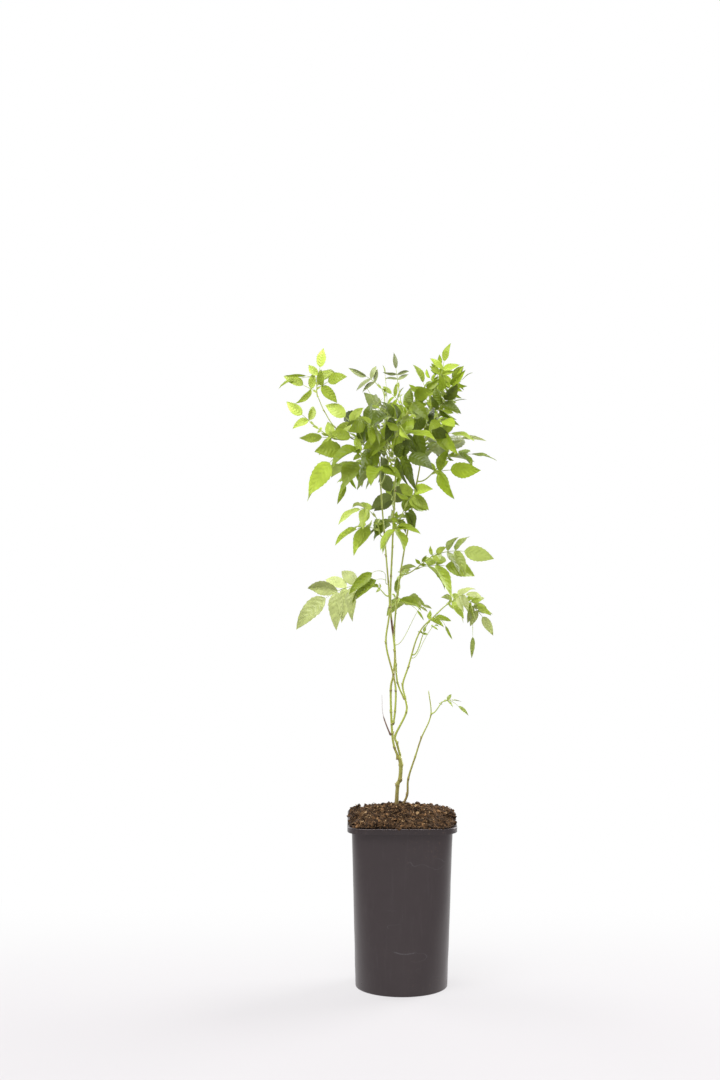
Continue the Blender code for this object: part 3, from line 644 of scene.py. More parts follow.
def curve_through(points, steps):
    """Points on the Catmull-Rom curve through the given ones, with this many steps between each
    two."""
    points = np.asarray(points, float)
    before = np.vstack([2 * points[0] - points[1], points, 2 * points[-1] - points[-2]])
    found = []
    for a, b, c, d in zip(before, before[1:], before[2:], before[3:]):
        for t in np.arange(steps) / steps:
            found.append(0.5 * (2 * b + (c - a) * t + (2 * a - 5 * b + 4 * c - d) * t ** 2
                                + (3 * b - a - 3 * c + d) * t ** 3))
    found.append(points[-1])
    return np.array(found)


def frames_along(path, first_facing=None, last_facing=None):
    """Two unit vectors across a path at each of its points, carried along without twist."""
    steps = np.diff(path, axis=0)
    facing = [unit(a) + unit(b) for a, b in zip(steps, steps[1:])]
    facing = [steps[0] if first_facing is None else first_facing, *facing,
              steps[-1] if last_facing is None else last_facing]
    side = np.array((1.0, 0.0, 0.0)) if abs(unit(facing[0])[0]) < 0.8 else np.array((0.0, 1.0, 0.0))
    sides, others = [], []
    for ahead in map(unit, facing):
        side = across(side, ahead)
        sides.append(side)
        others.append(np.cross(ahead, side))
    return np.array(sides), np.array(others)


def tube(path, radii, sides, first_facing=None, last_facing=None):
    """Rings of a tube along a path, as an array (rows, sides, 3). radii is one number for each
    row, or one for each row and side."""
    path = np.asarray(path, float)
    radii = np.asarray(radii, float).reshape(len(path), -1, 1)
    side, other = frames_along(path, first_facing, last_facing)
    turns = turns_of(sides)
    return path[:, None] + radii * (np.cos(turns)[:, None] * side[:, None]
                                    + np.sin(turns)[:, None] * other[:, None])


def arc_length(path):
    """How far along a path each of its points lies."""
    return np.append(0.0, np.cumsum(np.linalg.norm(np.diff(path, axis=0), axis=1)))


def seat(grown, height, heading):
    """Where a branch starts on a grown limb, 0.3 mm clear of it, and the way it faces there: on
    the limb's side at a height and in a heading, or on its tip where the height is None."""
    path, radii = grown
    if height is None:
        ahead = unit(path[-1] - path[-2])
        return path[-1] + ahead * GAP, ahead
    i = int(np.searchsorted(path[:, 2], height * 0.01)) - 1
    share = (height * 0.01 - path[i, 2]) / (path[i + 1, 2] - path[i, 2])
    middle = path[i] + (path[i + 1] - path[i]) * share
    out = across(heading_of(heading), unit(path[i + 1] - path[i]))
    return middle + out * (max(radii[i], radii[i + 1]) * 1.03 + GAP), out


def grow_limb(limb, grown, steps):
    """The path and radii of a limb, with the way that its foot faces, at this many steps a bend."""
    bends = np.array(limb.bends, float) * 0.01
    if limb.start in ("soil", "fork"):
        bends[0, 2] = (SOIL_TOP if limb.start == "soil" else grown["main_stem"][0][-1][2]) + GAP
        facing = UP
    else:
        start, facing = seat(grown[limb.start], limb.height, limb.heading)
        away = start + (facing + 0.8 * UP) * 1.6 * limb.foot * 0.001
        bends = np.vstack([start, bends] if limb.height is None else [start, away, bends])
    path = curve_through(bends, steps)
    along = arc_length(path)
    radii = 0.001 * (limb.foot + (limb.tip - limb.foot) * along / along[-1])
    radii *= 1.0 + limb.flare * np.exp(-along / FLARE_HEIGHT)
    return path, radii, facing


def knots_of(along):
    """How far along its skin a limb's knots lie: at each bend, and halfway between bends that
    stand far apart."""
    bends = along[1::BARK_STEPS][1:-1]
    if not len(bends):
        return np.array([0.012])
    edges = np.concatenate([[0.0], bends, [along[-1]]])
    long = np.diff(edges) > 0.055
    extra = (edges[:-1] + 0.5 * np.diff(edges))[long]
    return np.sort(np.concatenate([bends[bends > 0.004], extra]))


def stations(along, knots):
    """Places along a limb for its rows: even ones, and closer ones about each knot."""
    even = np.linspace(0, along[-1], 2 + int(along[-1] / BARK_SPACING))
    near = np.concatenate([[0.0], KNOT_RING_HALF * 1.75 ** np.arange(5)])
    close = (knots[:, None] + np.concatenate([-near, near])).ravel()
    both = np.unique(np.concatenate([even, close[(close > 0) & (close < along[-1])]]))
    return both[np.append(True, np.diff(both) > 0.00012)]


def bark_skin(limb, path, radii, facing, seed):
    """A limb's rings, how brown they are, and its buds. Its radius is the plain taper, times low
    sines round it that wander along it as the ribs of a young stem, plus at each knot a bell that
    leans to the bud's side and a thin ring below it. It starts a little inside what carries it,
    with its foot spread as a collar."""
    branch = limb.start in LIMB_NAMES
    rooted = path[0] - unit(facing) * (radii[0] * 0.9 if branch else ROOTED)
    path = np.vstack([rooted, path])
    radii = np.append(radii[0], radii)
    along = arc_length(path)
    knots = knots_of(along)
    rows = stations(along, knots)
    line = np.stack([np.interp(rows, along, path[:, k]) for k in range(3)], 1)
    height = line[:, 2:3]
    plain = np.interp(rows, along, radii)[:, None]
    if limb.name == "dead_snag":
        plain = plain * (1.1 - 0.6 * np.clip((height - SNAG_BREAK) / 0.004, 0, 1))
    turns = turns_of(BARK_SIDES)[None]
    way = rows[:, None]
    ribs = (0.030 * np.sin(3 * turns + 40 * way + seed)
            + 0.022 * np.sin(5 * turns - 55 * way + 2 * seed)
            + 0.020 * smooth_noise(way * 900 + 0 * turns, turns * 8 / math.pi, seed))
    swell, brown = np.zeros((2, len(rows), BARK_SIDES))
    for k, knot in enumerate(knots):
        lean = 1 + 0.7 * np.cos(turns - 2.4 * k - seed)
        swell += 0.20 * np.exp(-((way - knot) / KNOT_HALF) ** 2) * lean
        swell += 0.09 * np.exp(-((way - knot + 0.0011) / KNOT_RING_HALF) ** 2)
        mark = 0.22 + 0.30 * abs(math.sin(3.1 * k + seed)) + 0.18 * lean
        brown = np.maximum(brown, np.exp(-((way - knot + 0.0006) / KNOT_BROWN_HALF) ** 2) * mark)
    collar = 0.55 * np.exp(-way / 0.0016) if branch else 0.25 * np.exp(-way / 0.003)
    end = np.clip((along[-1] - way) / 0.0012, 0.25, 1) ** 0.5
    rings = tube(line, plain * (1 + ribs + swell + collar) * end, BARK_SIDES, facing)
    brown = np.maximum(brown, 0.9 * np.exp(-(height - SOIL_TOP) / 0.010))
    brown = np.maximum(brown, 0.8 * np.exp(-way / 0.0022))
    if limb.name == "left_stem":
        brown = np.maximum(brown, np.clip(1.6 - np.abs(height - SCAR_HEIGHT) / SCAR_HALF, 0, 1))
    buds = []
    for k, knot in enumerate(knots):
        turn = 2.4 * k + seed
        row = int(np.argmin(np.abs(rows - knot)))
        foot = rings[row, int(round(turn / (2 * math.pi) * BARK_SIDES)) % BARK_SIDES]
        size = 0.0011 + 0.0007 * abs(math.sin(5.0 * turn + seed - 3))
        buds.append((foot, unit(foot - line[row]), unit(line[row] - line[row - 2]), size))
    return rings, brown, buds


def bark_finish():
    """Bark that is olive low down and fresh green higher up, browned in patches and where the mark
    says, with pale breathing spots drawn out along the stem and a finely furrowed surface."""
    made = Finish("bark_green", (0.16, 0.24, 0.04), 0.50)
    height = made.along("Z")
    fine = made.noise(1500, 3, 0.6, made.stretched(1, 1, 0.18))
    broad = made.noise(160, 3)
    brown = made.mark("brown")
    patches = made.noise(75, 2, 0.5, made.stretched(1, 1, 0.5)).between(0.48, 0.62)
    colour = made.mix(height.between(0.23, 0.35) * 0.75 + broad * 0.25, OLIVE, FRESH_GREEN)
    colour = made.mix(patches * (0.75 - height.between(0.25, 0.55) * 0.45), colour, BROWNED)
    colour = made.mix(fine.between(0.35, 0.75) * 0.35, colour, PALE_GREEN)
    colour = made.mix((brown + (broad - 0.5) * 0.5).between(0.15, 0.95), colour, SCAR_BROWN)
    spots = made.noise(1100, 1, 0.4, made.stretched(1, 1, 0.45)).between(0.70, 0.78)
    colour = made.mix(spots * 0.45, colour, SPOT_PALE)
    return made.vary(colour, 0.42 + fine * 0.15 + brown * 0.2, fine * 0.7 + broad * 0.3, 0.00025)


def snag_finish():
    """Dead bark: red-brown, dry and split along its length, and bleached grey on the thin end."""
    made = Finish("bark_dead", (0.13, 0.07, 0.045), 0.85)
    splits = made.noise(1300, 4, 0.7, made.stretched(1, 1, 0.12))
    colour = made.mix(splits.between(0.35, 0.7), DEAD_DARK, DEAD_LIGHT)
    bleached = made.along("Z").between(SNAG_BREAK - 0.001, SNAG_BREAK + 0.005)
    colour = made.mix(bleached * 0.8, colour, BLEACHED)
    return made.vary(colour, 0.75 + splits * 0.2, splits, 0.0004)


green_bark, dead_bark = bark_finish(), snag_finish()
grown, limb_rings, buds = {}, [], []
for order, limb in enumerate(LIMBS):
    path, radii, facing = grow_limb(limb, grown, 2)
    grown[limb.name] = (path, radii)
    level_tip = UP if limb.name == "main_stem" else None
    limb_rings.append(tube(path, radii, LIMB_SIDES, facing, level_tip))
    rings, brown, own_buds = bark_skin(limb, *grow_limb(limb, grown, BARK_STEPS), 3 + order)
    dead = limb.name == "dead_snag"
    buds += [] if dead else own_buds
    marks = {"brown": np.append(brown.ravel(), (brown[0].mean(), brown[-1].mean()))}
    stem = piece_of(limb.name + "_bark", *closed_skin(rings),
                    (dead_bark if dead else green_bark,), 60, marks)
    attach(stem, "root")
    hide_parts(limb.name)

# Buds: a small scaly bud sits over the scar of each old leaf, close against the stem.


def bud_skins(buds):
    """Each bud is a body of revolution whose radius is a sine of the way along to the power 0.75,
    drawn out along the stem, leaning out from it and pointed at its tip."""
    t = np.linspace(0.02, 0.98, 8)
    turns = turns_of(10)
    foot, out, ahead, size = (np.array(column, float) for column in zip(*buds))
    axis = unit(ahead + 0.45 * out)
    side = across(out, axis)
    other = np.cross(axis, side)
    size = size[:, None, None, None]
    radius = (0.42 * np.sin(math.pi * t ** 0.75) * (1 - 0.35 * t))[None, :, None, None]
    ring = (np.cos(turns)[None, None, :, None] * side[:, None, None]
            + np.sin(turns)[None, None, :, None] * other[:, None, None])
    low = foot[:, None, None] - 0.25 * size * out[:, None, None]
    rings = low + size * (1.5 * t[None, :, None, None] * axis[:, None, None] + radius * ring)
    return [closed_skin(one) for one in rings]


def bud_finish():
    """Bud scales: green, blushed with dull red."""
    made = Finish("bud_scales", (0.20, 0.12, 0.04), 0.5)
    blush = made.noise(700, 2)
    return made.vary(made.mix(blush.between(0.35, 0.65), BUD_GREEN, BUD_RED), 0.45, blush, 0.0002)


bud_piece = piece_of("buds", *joined(bud_skins(buds)), (bud_finish(),), 60)
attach(bud_piece, "root")
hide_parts(*GREEN_LIMBS)


# ---- Twigs ----
# A mass of leaves grows from one green twig, which stands on a stem's side or tip and runs past a
# bend to its own tip. Its leaves stand along it in a spiral, by the same rule as its solid's.

TWIG_FOOT, TWIG_TIP, STALK_FOOT, STALK_TIP = 0.00085, 0.00055, 0.00055, 0.00040
LEAF_THICKNESS, LEAF_FOLD, LEAF_CLEARANCE, SPIRAL = 0.0008, 0.22, 0.0008, 144.0
TURNS_TRIED = (0.0, 25.0, -25.0, 50.0, -50.0, 80.0, -80.0)
FIRST_LEAF, LAST_LEAF, STALK_START, STALK_PER_PAIR = 0.40, 0.97, 0.40, 0.32
FIRST_PAIR, PAIRS_SPAN, PAIR_STAGGER, PAIR_SIZE, PAIR_GROWTH = 0.40, 0.52, 0.012, 0.66, 0.20
LEAFLET_SPREAD, LEAFLET_ROLL = 62.0, math.radians(30.0)

Mass = namedtuple(
    "Mass",
    "name limb height heading bend tip leaves turn facing leaflet slim pairs droop sag seed colour",
)
MASSES = (
    Mass("foliage_top", "rear_stem", None, 0, (4.2, 0.2, 74.2), (4.7, -0.2, 76.8),
         5, 20, 270, 2.7, 0.40, 2, -0.2, 0.1, 3, "young"),
    Mass("foliage_shoot", "rear_stem", 69.5, 215, (0.0, 0.2, 72.0), (-0.5, 0.2, 76.4),
         4, 200, 270, 2.3, 0.26, 2, 0.0, 0.2, 5, "young"),
    Mass("foliage_high_left", "left_stem", 67.6, 170, (-1.2, 0.8, 75.2), (-2.8, 0.6, 76.0),
         2, 150, 270, 2.7, 0.32, 2, 0.4, 0.3, 6, "grown"),
    Mass("foliage_arching_top", "arching_stem", None, 0, (-10.7, -2.3, 75.8), (-10.5, -2.3, 76.9),
         4, 180, 270, 2.8, 0.50, 1, 0.1, 0.2, 7, "young"),
    Mass("foliage_arching_side", "arching_stem", 69.9, 185, (-9.6, -2.2, 70.0), (-11.2, -2.4, 71.6),
         2, 185, 270, 2.9, 0.52, 1, 0.1, 0.3, 8, "young"),
    Mass("foliage_arching_foot", "arching_stem", 68.9, 250, (-5.0, -2.4, 70.2), (-5.8, -2.6, 71.0),
         2, 200, 270, 3.1, 0.54, 1, 0.2, 0.3, 9, "bright"),
    Mass("foliage_side_left", "middle_stem", 65.3, 180, (-5.2, -1.8, 68.8), (-6.8, -2.2, 68.2),
         2, 200, 270, 4.6, 0.54, 1, 0.8, 0.8, 31, "bright"),
    Mass("foliage_side_right", "rear_stem", 64.2, 350, (4.8, 0.4, 67.2), (6.5, 0.2, 67.4),
         3, 330, 270, 4.2, 0.50, 1, 0.3, 0.3, 37, "bright"),
    Mass("foliage_crown_left", "left_stem", 66.3, 215, (-2.2, -2.0, 70.0), (-3.2, -2.6, 70.8),
         4, 195, 270, 3.9, 0.52, 2, 0.5, 0.7, 11, "grown"),
    Mass("foliage_crown_centre", "left_stem", None, 0, (-0.4, -0.6, 70.5), (0.6, -1.8, 72.8),
         4, 300, 270, 3.5, 0.52, 2, 0.4, 0.6, 13, "grown"),
    Mass("foliage_crown_right", "rear_stem", 69.3, 335, (3.2, -0.9, 70.4), (4.1, -1.4, 72.4),
         4, 350, 270, 3.4, 0.52, 2, 0.4, 0.5, 17, "grown"),
    Mass("foliage_crown_rear_left", "left_stem", 65.0, 110, (-1.6, 3.4, 69.0), (-2.2, 4.2, 71.0),
         4, 140, 90, 3.7, 0.52, 2, 0.5, 0.6, 19, "grown"),
    Mass("foliage_crown_rear_right", "rear_stem", 66.5, 65, (2.8, 3.6, 69.4), (3.2, 4.4, 71.2),
         4, 60, 90, 3.7, 0.52, 2, 0.5, 0.6, 23, "grown"),
    Mass("foliage_crown_front", "middle_stem", 64.0, 285, (-1.6, -3.4, 67.6), (-0.8, -4.0, 70.2),
         4, 250, 270, 3.5, 0.52, 2, 0.5, 0.7, 29, "grown"),
    Mass("foliage_middle_left", "middle_stem", 57.4, 190, (-2.9, -1.6, 59.6), (-3.4, -1.8, 60.0),
         2, 160, 270, 3.2, 0.50, 2, 0.9, 0.7, 41, "bright"),
    Mass("foliage_middle_right", "rear_stem", 52.4, 350, (3.0, 0.8, 54.6), (4.4, 0.6, 55.0),
         2, 20, 270, 4.1, 0.50, 2, 0.5, 0.4, 43, "bright"),
    Mass("foliage_middle_rear", "left_stem", 57.5, 95, (-0.8, 4.0, 60.5), (-0.8, 5.0, 61.8),
         3, 120, 90, 3.8, 0.52, 2, 0.6, 0.6, 47, "grown"),
    Mass("foliage_middle_front", "middle_stem", 57.0, 290, (-0.2, -3.6, 60.0), (0.4, -4.2, 61.5),
         3, 280, 270, 3.6, 0.52, 2, 0.6, 0.6, 53, "grown"),
    Mass("foliage_low_left", "middle_stem", 49.9, 180, (-2.6, -0.9, 51.0), (-3.4, -0.9, 51.1),
         1, 180, 270, 4.9, 0.48, 3, 0.95, 0.55, 9902, "bright"),
    Mass("foliage_low_right", "right_stem", None, 0, (6.6, 0.1, 50.0), (8.2, 0.0, 49.0),
         4, 60, 270, 2.5, 0.46, 2, 0.7, 0.5, 61, "bright"),
    Mass("foliage_low_centre", "right_stem", 42.4, 30, (2.4, 0.9, 45.0), (3.4, 1.0, 46.4),
         1, 0, 270, 2.3, 0.46, 1, 0.9, 0.5, 67, "bright"),
    Mass("foliage_low_rear", "rear_stem", 47.5, 95, (-0.6, 3.4, 50.0), (-0.4, 4.2, 50.6),
         2, 70, 90, 3.8, 0.52, 2, 0.5, 0.6, 71, "bright"),
    Mass("foliage_lowest", "side_stem", 34.9, 0, (4.8, 0.0, 36.4), (5.4, 0.0, 36.5),
         1, 0, 270, 1.5, 0.42, 1, 0.4, 0.1, 73, "bright"),
)
MASS_NAMES = tuple(mass.name for mass in MASSES)

Leaf = namedtuple("Leaf", "mass order out foot stalk leaflets sprig")
Leaflet = namedtuple("Leaflet", "foot way face length width sag")


def along_twig(corners, t):
    """Points at t, from 0 to 1, on the cubic curve that four control points give."""
    t = np.asarray(t, float)[:, None]
    a, b, c, d = corners
    return (1 - t) ** 3 * a + 3 * t * (1 - t) ** 2 * b + 3 * t ** 2 * (1 - t) * c + t ** 3 * d


def leaf_parts(foot, out, mass, size, chance):
    """The length of a leaf's stalk, and its leaflets: pairs along the drooping stalk and one at
    its end, each turned out by about 62 degrees, hanging a little and tilted by chance."""
    length = mass.leaflet * 0.01 * size
    stalk = length * (STALK_START + STALK_PER_PAIR * mass.pairs)
    roll = LEAFLET_ROLL * chance[0, 0]
    light = ((0.8 + 0.6 * chance[0, 1]) * heading_of(mass.facing) + 0.4 * UP
             + 0.6 * chance[1, 0] * heading_of(mass.facing + 90.0))
    leaflets = []
    for k in range(2 * mass.pairs + 1):
        pair = k // 2
        last = k == 2 * mass.pairs
        side = 1.0 if k % 2 else -1.0
        share = 0.97 if last else FIRST_PAIR + PAIRS_SPAN * pair / mass.pairs + PAIR_STAGGER * side
        ahead = unit(out + mass.droop * share * DOWN)
        start = foot + stalk * (out * share + 0.5 * mass.droop * share ** 2 * DOWN)
        face = spun(across(light, ahead), ahead, roll)
        if last:
            way, scale = ahead, 1.0
        else:
            way = spun(ahead, face, side * math.radians(LEAFLET_SPREAD + 10.0 * chance[k, 1]))
            way = unit(way + 0.4 * mass.sag * (1.0 + 0.5 * chance[k, 2]) * DOWN)
            scale = PAIR_SIZE + PAIR_GROWTH * (pair + 1) / mass.pairs
            scale *= 1.0 + 0.08 * chance[k, 3]
        face = spun(across(face, way), way, LEAFLET_ROLL * chance[k, 2])
        sag = mass.sag * (0.8 + 0.3 * chance[k, 3])
        leaflets.append(Leaflet(start, way, face, length * scale, length * scale * mass.slim, sag))
    return stalk, leaflets


def stalk_line(foot, out, stalk, droop, steps):
    """A leaf stalk's line: straight out of its foot, bending down with the square of the way."""
    shares = np.linspace(0.0, 1.0, steps)[:, None]
    return foot + stalk * (out * shares + 0.5 * droop * shares ** 2 * DOWN)


def leaflet_fence(leaflet):
    """A six-sided outline with a raised and a lowered middle, wider than the leaflet by the
    clearance, for touch tests."""
    foot, way, face, length, width, sag = leaflet

    def frame_at(share):
        centre = foot + length * (way * share + 0.5 * sag * share ** 2 * DOWN)
        ahead = unit(way + sag * share * DOWN)
        up = across(face, ahead)
        return centre, up, np.cross(up, ahead)

    outline = [foot]
    for share, side, spread in ((0.34, 1, 1.0), (0.70, 1, 0.68), (1.0, 0, 0.0), (0.70, -1, 0.68),
                                (0.34, -1, 1.0)):
        centre, up, right = frame_at(share)
        half = 0.5 * width * spread + LEAF_CLEARANCE * abs(side)
        outline.append(centre + right * side * half + up * LEAF_FOLD * 0.5 * width * spread)
    centre, up, _ = frame_at(0.42)
    half = 0.5 * LEAF_THICKNESS + LEAF_CLEARANCE
    points = [*outline, centre + up * half, centre - up * half]
    faces = [face for i in range(6) for face in ((i, (i + 1) % 6, 6), ((i + 1) % 6, i, 7))]
    return fence(points, faces)


def fence(points, faces):
    """A tree of a closed skin's faces for touch tests, with the corners of its box."""
    corners = np.array(points, float)
    return BVHTree.FromPolygons(corners.tolist(), faces), corners.min(0), corners.max(0)


def tube_fence(rings):
    """The fence of a tube, each of its patches split along the diagonal that rises."""
    rows, columns, _ = rings.shape
    faces = []
    for row in range(rows - 1):
        rising = rings[row + 1, 0, 2] > rings[row, 0, 2]
        for i in range(columns):
            a, b = row * columns + i, row * columns + (i + 1) % columns
            c, d = b + columns, a + columns
            faces += [(a, b, d), (b, c, d)] if rising else [(a, b, c), (a, c, d)]
    faces.append(tuple(reversed(range(columns))))
    faces.append(tuple(range((rows - 1) * columns, rows * columns)))
    return fence(rings.reshape(-1, 3), faces)


def touches(piece, others):
    """Whether a fenced piece meets any of the others."""
    tree, low, high = piece
    for other, other_low, other_high in others:
        if (low <= other_high).all() and (other_low <= high).all() and tree.overlap(other):
            return True
    return False


def leaf_fences(foot, out, mass, stalk, leaflets):
    """The fences of a leaf, its stalk's first."""
    shares = np.linspace(0.0, 1.0, 8 if mass.pairs > 2 else 4)
    radii = STALK_FOOT + (STALK_TIP - STALK_FOOT) * shares + LEAF_CLEARANCE
    line = stalk_line(foot, out, stalk, mass.droop, len(shares))
    return [tube_fence(tube(line, radii, STALK_SIDES))] + [leaflet_fence(one) for one in leaflets]


def grow_twig(mass, grown):
    """The control points of a mass's twig, and the way that its foot faces."""
    start, facing = seat(grown[mass.limb], mass.height, mass.heading)
    bend = np.array(mass.bend) * 0.01
    tip = np.array(mass.tip) * 0.01
    lead = 0.35 * np.linalg.norm(bend - start)
    return (start, start + facing * lead, bend, tip), facing


def grow_leaves(mass, corners, twig, taken, neighbours=()):
    """The leaves of a mass. Each is tried at several turns about the twig, and a leaflet that
    still touches what is already there is left off. The fences of what is kept are added to
    taken."""
    chances = np.random.default_rng(mass.seed)
    kept = []
    for i in range(mass.leaves):
        share = 1.0 if mass.leaves == 1 else i / (mass.leaves - 1)
        t = min(LAST_LEAF, FIRST_LEAF + (1.0 - FIRST_LEAF) * share)
        foot, before = along_twig(corners, (t, t - 0.03))
        ahead = unit(foot - before)
        chance = chances.uniform(-1.0, 1.0, (2 * mass.pairs + 2, 4))
        size = (1.15 - 0.25 * t) * (1.0 + 0.12 * chance[-1, 0])
        best = None
        for turn in TURNS_TRIED:
            level = heading_of(mass.turn + SPIRAL * i + 12.0 * chance[-1, 1] + turn)
            level = level - 1.6 * min(0.0, np.dot(level, ahead)) * ahead
            out = unit(0.45 * ahead + level + 0.15 * UP)
            if i == mass.leaves - 1:
                out = spun(ahead, across(UP + 0.3 * level, ahead), math.radians(0.5 * turn))
            stalk, leaflets = leaf_parts(foot, out, mass, size, chance)
            fences = leaf_fences(foot, out, mass, stalk, leaflets)
            if touches(fences[0], [*taken, *neighbours]):
                continue
            free = [k for k in range(1, len(fences))
                    if not touches(fences[k], [*taken, *neighbours, twig])]
            if best is None or len(free) > len(best[0].leaflets):
                found = Leaf(mass, i, out, foot, stalk, [leaflets[k - 1] for k in free], False)
                best = (found, [fences[0]] + [fences[k] for k in free])
            if len(free) == len(fences) - 1:
                break
        if best:
            kept.append(best[0])
            taken += best[1]
    return kept


twigs = []
for mass in MASSES:
    corners, facing = grow_twig(mass, grown)
    shares = np.append(0.0, np.linspace(0.06, 1.0, 6))
    radii = TWIG_FOOT + (TWIG_TIP - TWIG_FOOT) * shares
    rings = tube(along_twig(corners, shares), radii, TWIG_SIDES, facing)
    twigs.append((corners, facing, tube_fence(rings)))
taken = [tube_fence(rings) for rings in limb_rings]
leaves = []
for mass, (corners, _, twig) in zip(MASSES, twigs):
    neighbours = [other for _, _, other in twigs if other is not twig]
    leaves += grow_leaves(mass, corners, twig, taken, neighbours)

# The rule goes on to finer growth: a sprig of three small leaflets in the axil of each leaf, and
# more where the mass is young. A sprig that would touch something or leave the mass's reach is
# skipped.


def grow_sprigs(leaves, twigs, taken):
    """Small leaves beside the large ones, turned to the twig's other side."""
    chances = np.random.default_rng(97)
    corners_of = {mass.name: corners for mass, (corners, _, _) in zip(MASSES, twigs)}
    found = []
    for leaf in leaves:
        mass, corners = leaf.mass, corners_of[leaf.mass.name]
        low, high = (np.array(corner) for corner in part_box(mass.name))
        for turn in (115.0, -105.0, 70.0, 160.0)[:4 if mass.colour == "young" else 3]:
            chance = chances.uniform(-1.0, 1.0, (4, 4))
            t = 0.35 + 0.6 * (leaf.order + 0.5) / mass.leaves + 0.05 * chance[3, 3]
            t = float(np.clip(t, 0.2, LAST_LEAF))
            foot, before = along_twig(corners, (t, t - 0.03))
            ahead = unit(foot - before)
            level = spun(leaf.out, ahead, math.radians(turn + 20 * chance[-1, 1]))
            out = unit(0.8 * ahead + level + 0.35 * UP)
            small = mass._replace(leaflet=(0.30 + 0.12 * chance[-1, 0]) * mass.leaflet, pairs=1,
                                  droop=0.5 * mass.droop, sag=0.4 * mass.sag)
            stalk, leaflets = leaf_parts(foot, out, small, 1.0, chance)
            ends = np.array([one.foot + one.length * one.way for one in leaflets])
            if (ends < low).any() or (ends > high).any():
                continue
            fences = leaf_fences(foot, out, small, stalk, leaflets)
            if any(touches(piece, taken) for piece in fences[1:]):
                continue
            found.append(Leaf(small, leaf.order, out, foot, stalk, leaflets, True))
            taken += fences
    return found


leaves += grow_sprigs(leaves, twigs, taken)

# Hair-thin shoots of this season run out between the leaves, each with a few small leaves of its
# own. They grow by the same rule, in half the thickness.
WHIPS = (
    Mass("foliage_low_right", "left_stem", 43.6, 350, (0.9, 0.3, 46.2), (2.3, 0.4, 48.4),
         1, 0, 270, 1.5, 0.34, 1, 0.9, 0.6, 201, "pale"),
    Mass("foliage_low_right", "right_stem", 42.0, 10, (2.4, 0.3, 44.0), (3.9, 0.5, 45.9),
         1, 0, 270, 0.9, 0.36, 1, 0.5, 0.4, 202, "new"),
    Mass("foliage_low_rear", "middle_stem", 48.9, 330, (0.2, -0.9, 49.4), (1.5, -1.0, 48.5),
         1, 0, 300, 1.7, 0.24, 0, 0.6, 0.3, 203, "mid"),
    Mass("foliage_low_right", "right_stem", 47.0, 300, (4.3, -0.6, 47.5), (5.0, -0.7, 46.8),
         1, 0, 270, 2.2, 0.28, 0, 0.8, 0.4, 204, "lime"),
    Mass("foliage_low_right", "foliage_low_right", None, 0, (8.9, -0.2, 47.8), (8.9, -0.3, 45.7),
         2, 180, 270, 2.8, 0.24, 0, 0.4, 0.3, 205, "soft"),
    Mass("foliage_top", "rear_stem", 70.9, 60, (3.9, 0.7, 74.0), (4.4, 0.5, 77.2),
         5, 60, 270, 1.9, 0.42, 2, -0.1, 0.1, 206, "mid"),
    Mass("foliage_top", "rear_stem", 70.3, 330, (4.6, -0.7, 73.4), (5.6, -0.9, 75.4),
         4, 330, 270, 2.1, 0.44, 2, 0.1, 0.2, 207, "lime"),
    Mass("foliage_shoot", "left_stem", 67.0, 210, (-1.5, -0.3, 72.4), (-2.1, -0.4, 77.0),
         5, 170, 270, 1.4, 0.28, 1, 0.0, 0.2, 208, "mid"),
    Mass("foliage_crown_right", "foliage_crown_right", None, 0, (5.2, -1.4, 74.6),
         (7.0, -1.5, 76.4), 2, 20, 250, 2.9, 0.16, 0, 0.1, 0.3, 209, "full"),
    Mass("foliage_side_right", "rear_stem", 67.8, 350, (4.6, 0.2, 69.6), (6.3, 0.0, 69.6),
         2, 10, 270, 3.2, 0.24, 0, 0.1, 0.2, 210, "pale"),
    Mass("foliage_side_left", "middle_stem", 66.0, 200, (-5.0, -1.9, 66.8), (-6.2, -2.2, 65.4),
         3, 200, 270, 2.4, 0.36, 1, 0.8, 0.5, 211, "lime"),
    Mass("foliage_low_left", "middle_stem", 51.4, 200, (-1.6, -1.4, 52.9), (-2.6, -1.6, 53.1),
         2, 170, 270, 3.7, 0.40, 0, 0.9, 0.6, 212, "mid"),
    Mass("foliage_high_left", "left_stem", 67.2, 160, (-2.4, 0.2, 74.2), (-5.0, 0.0, 76.6),
         3, 160, 270, 2.4, 0.22, 1, 0.2, 0.3, 213, "grey"),
    Mass("foliage_arching_top", "foliage_arching_top", None, 0, (-11.6, -2.4, 77.4),
         (-12.4, -2.4, 77.2), 3, 190, 250, 2.6, 0.20, 0, 0.0, 0.3, 214, "lime"),
    Mass("foliage_lowest", "foliage_lowest", None, 0, (5.7, -0.2, 36.8), (6.1, -0.2, 36.6),
         1, 0, 250, 2.0, 0.34, 1, 0.35, 0.3, 215, "soft"),
)
for mass, (corners, _, _) in zip(MASSES, twigs):
    grown[mass.name] = (along_twig(corners, np.linspace(0, 1, 12)),
                        np.linspace(TWIG_FOOT, TWIG_TIP, 12))
whips = []
for whip in WHIPS:
    corners, facing = grow_twig(whip, grown)
    line = along_twig(corners, np.linspace(0, 1, 6))
    shoot = tube_fence(tube(line, np.full(6, 0.5 * TWIG_FOOT), TWIG_SIDES))
    whips.append((corners, facing))
    leaves += [leaf._replace(sprig=True) for leaf in grow_leaves(whip, corners, shoot, taken)]


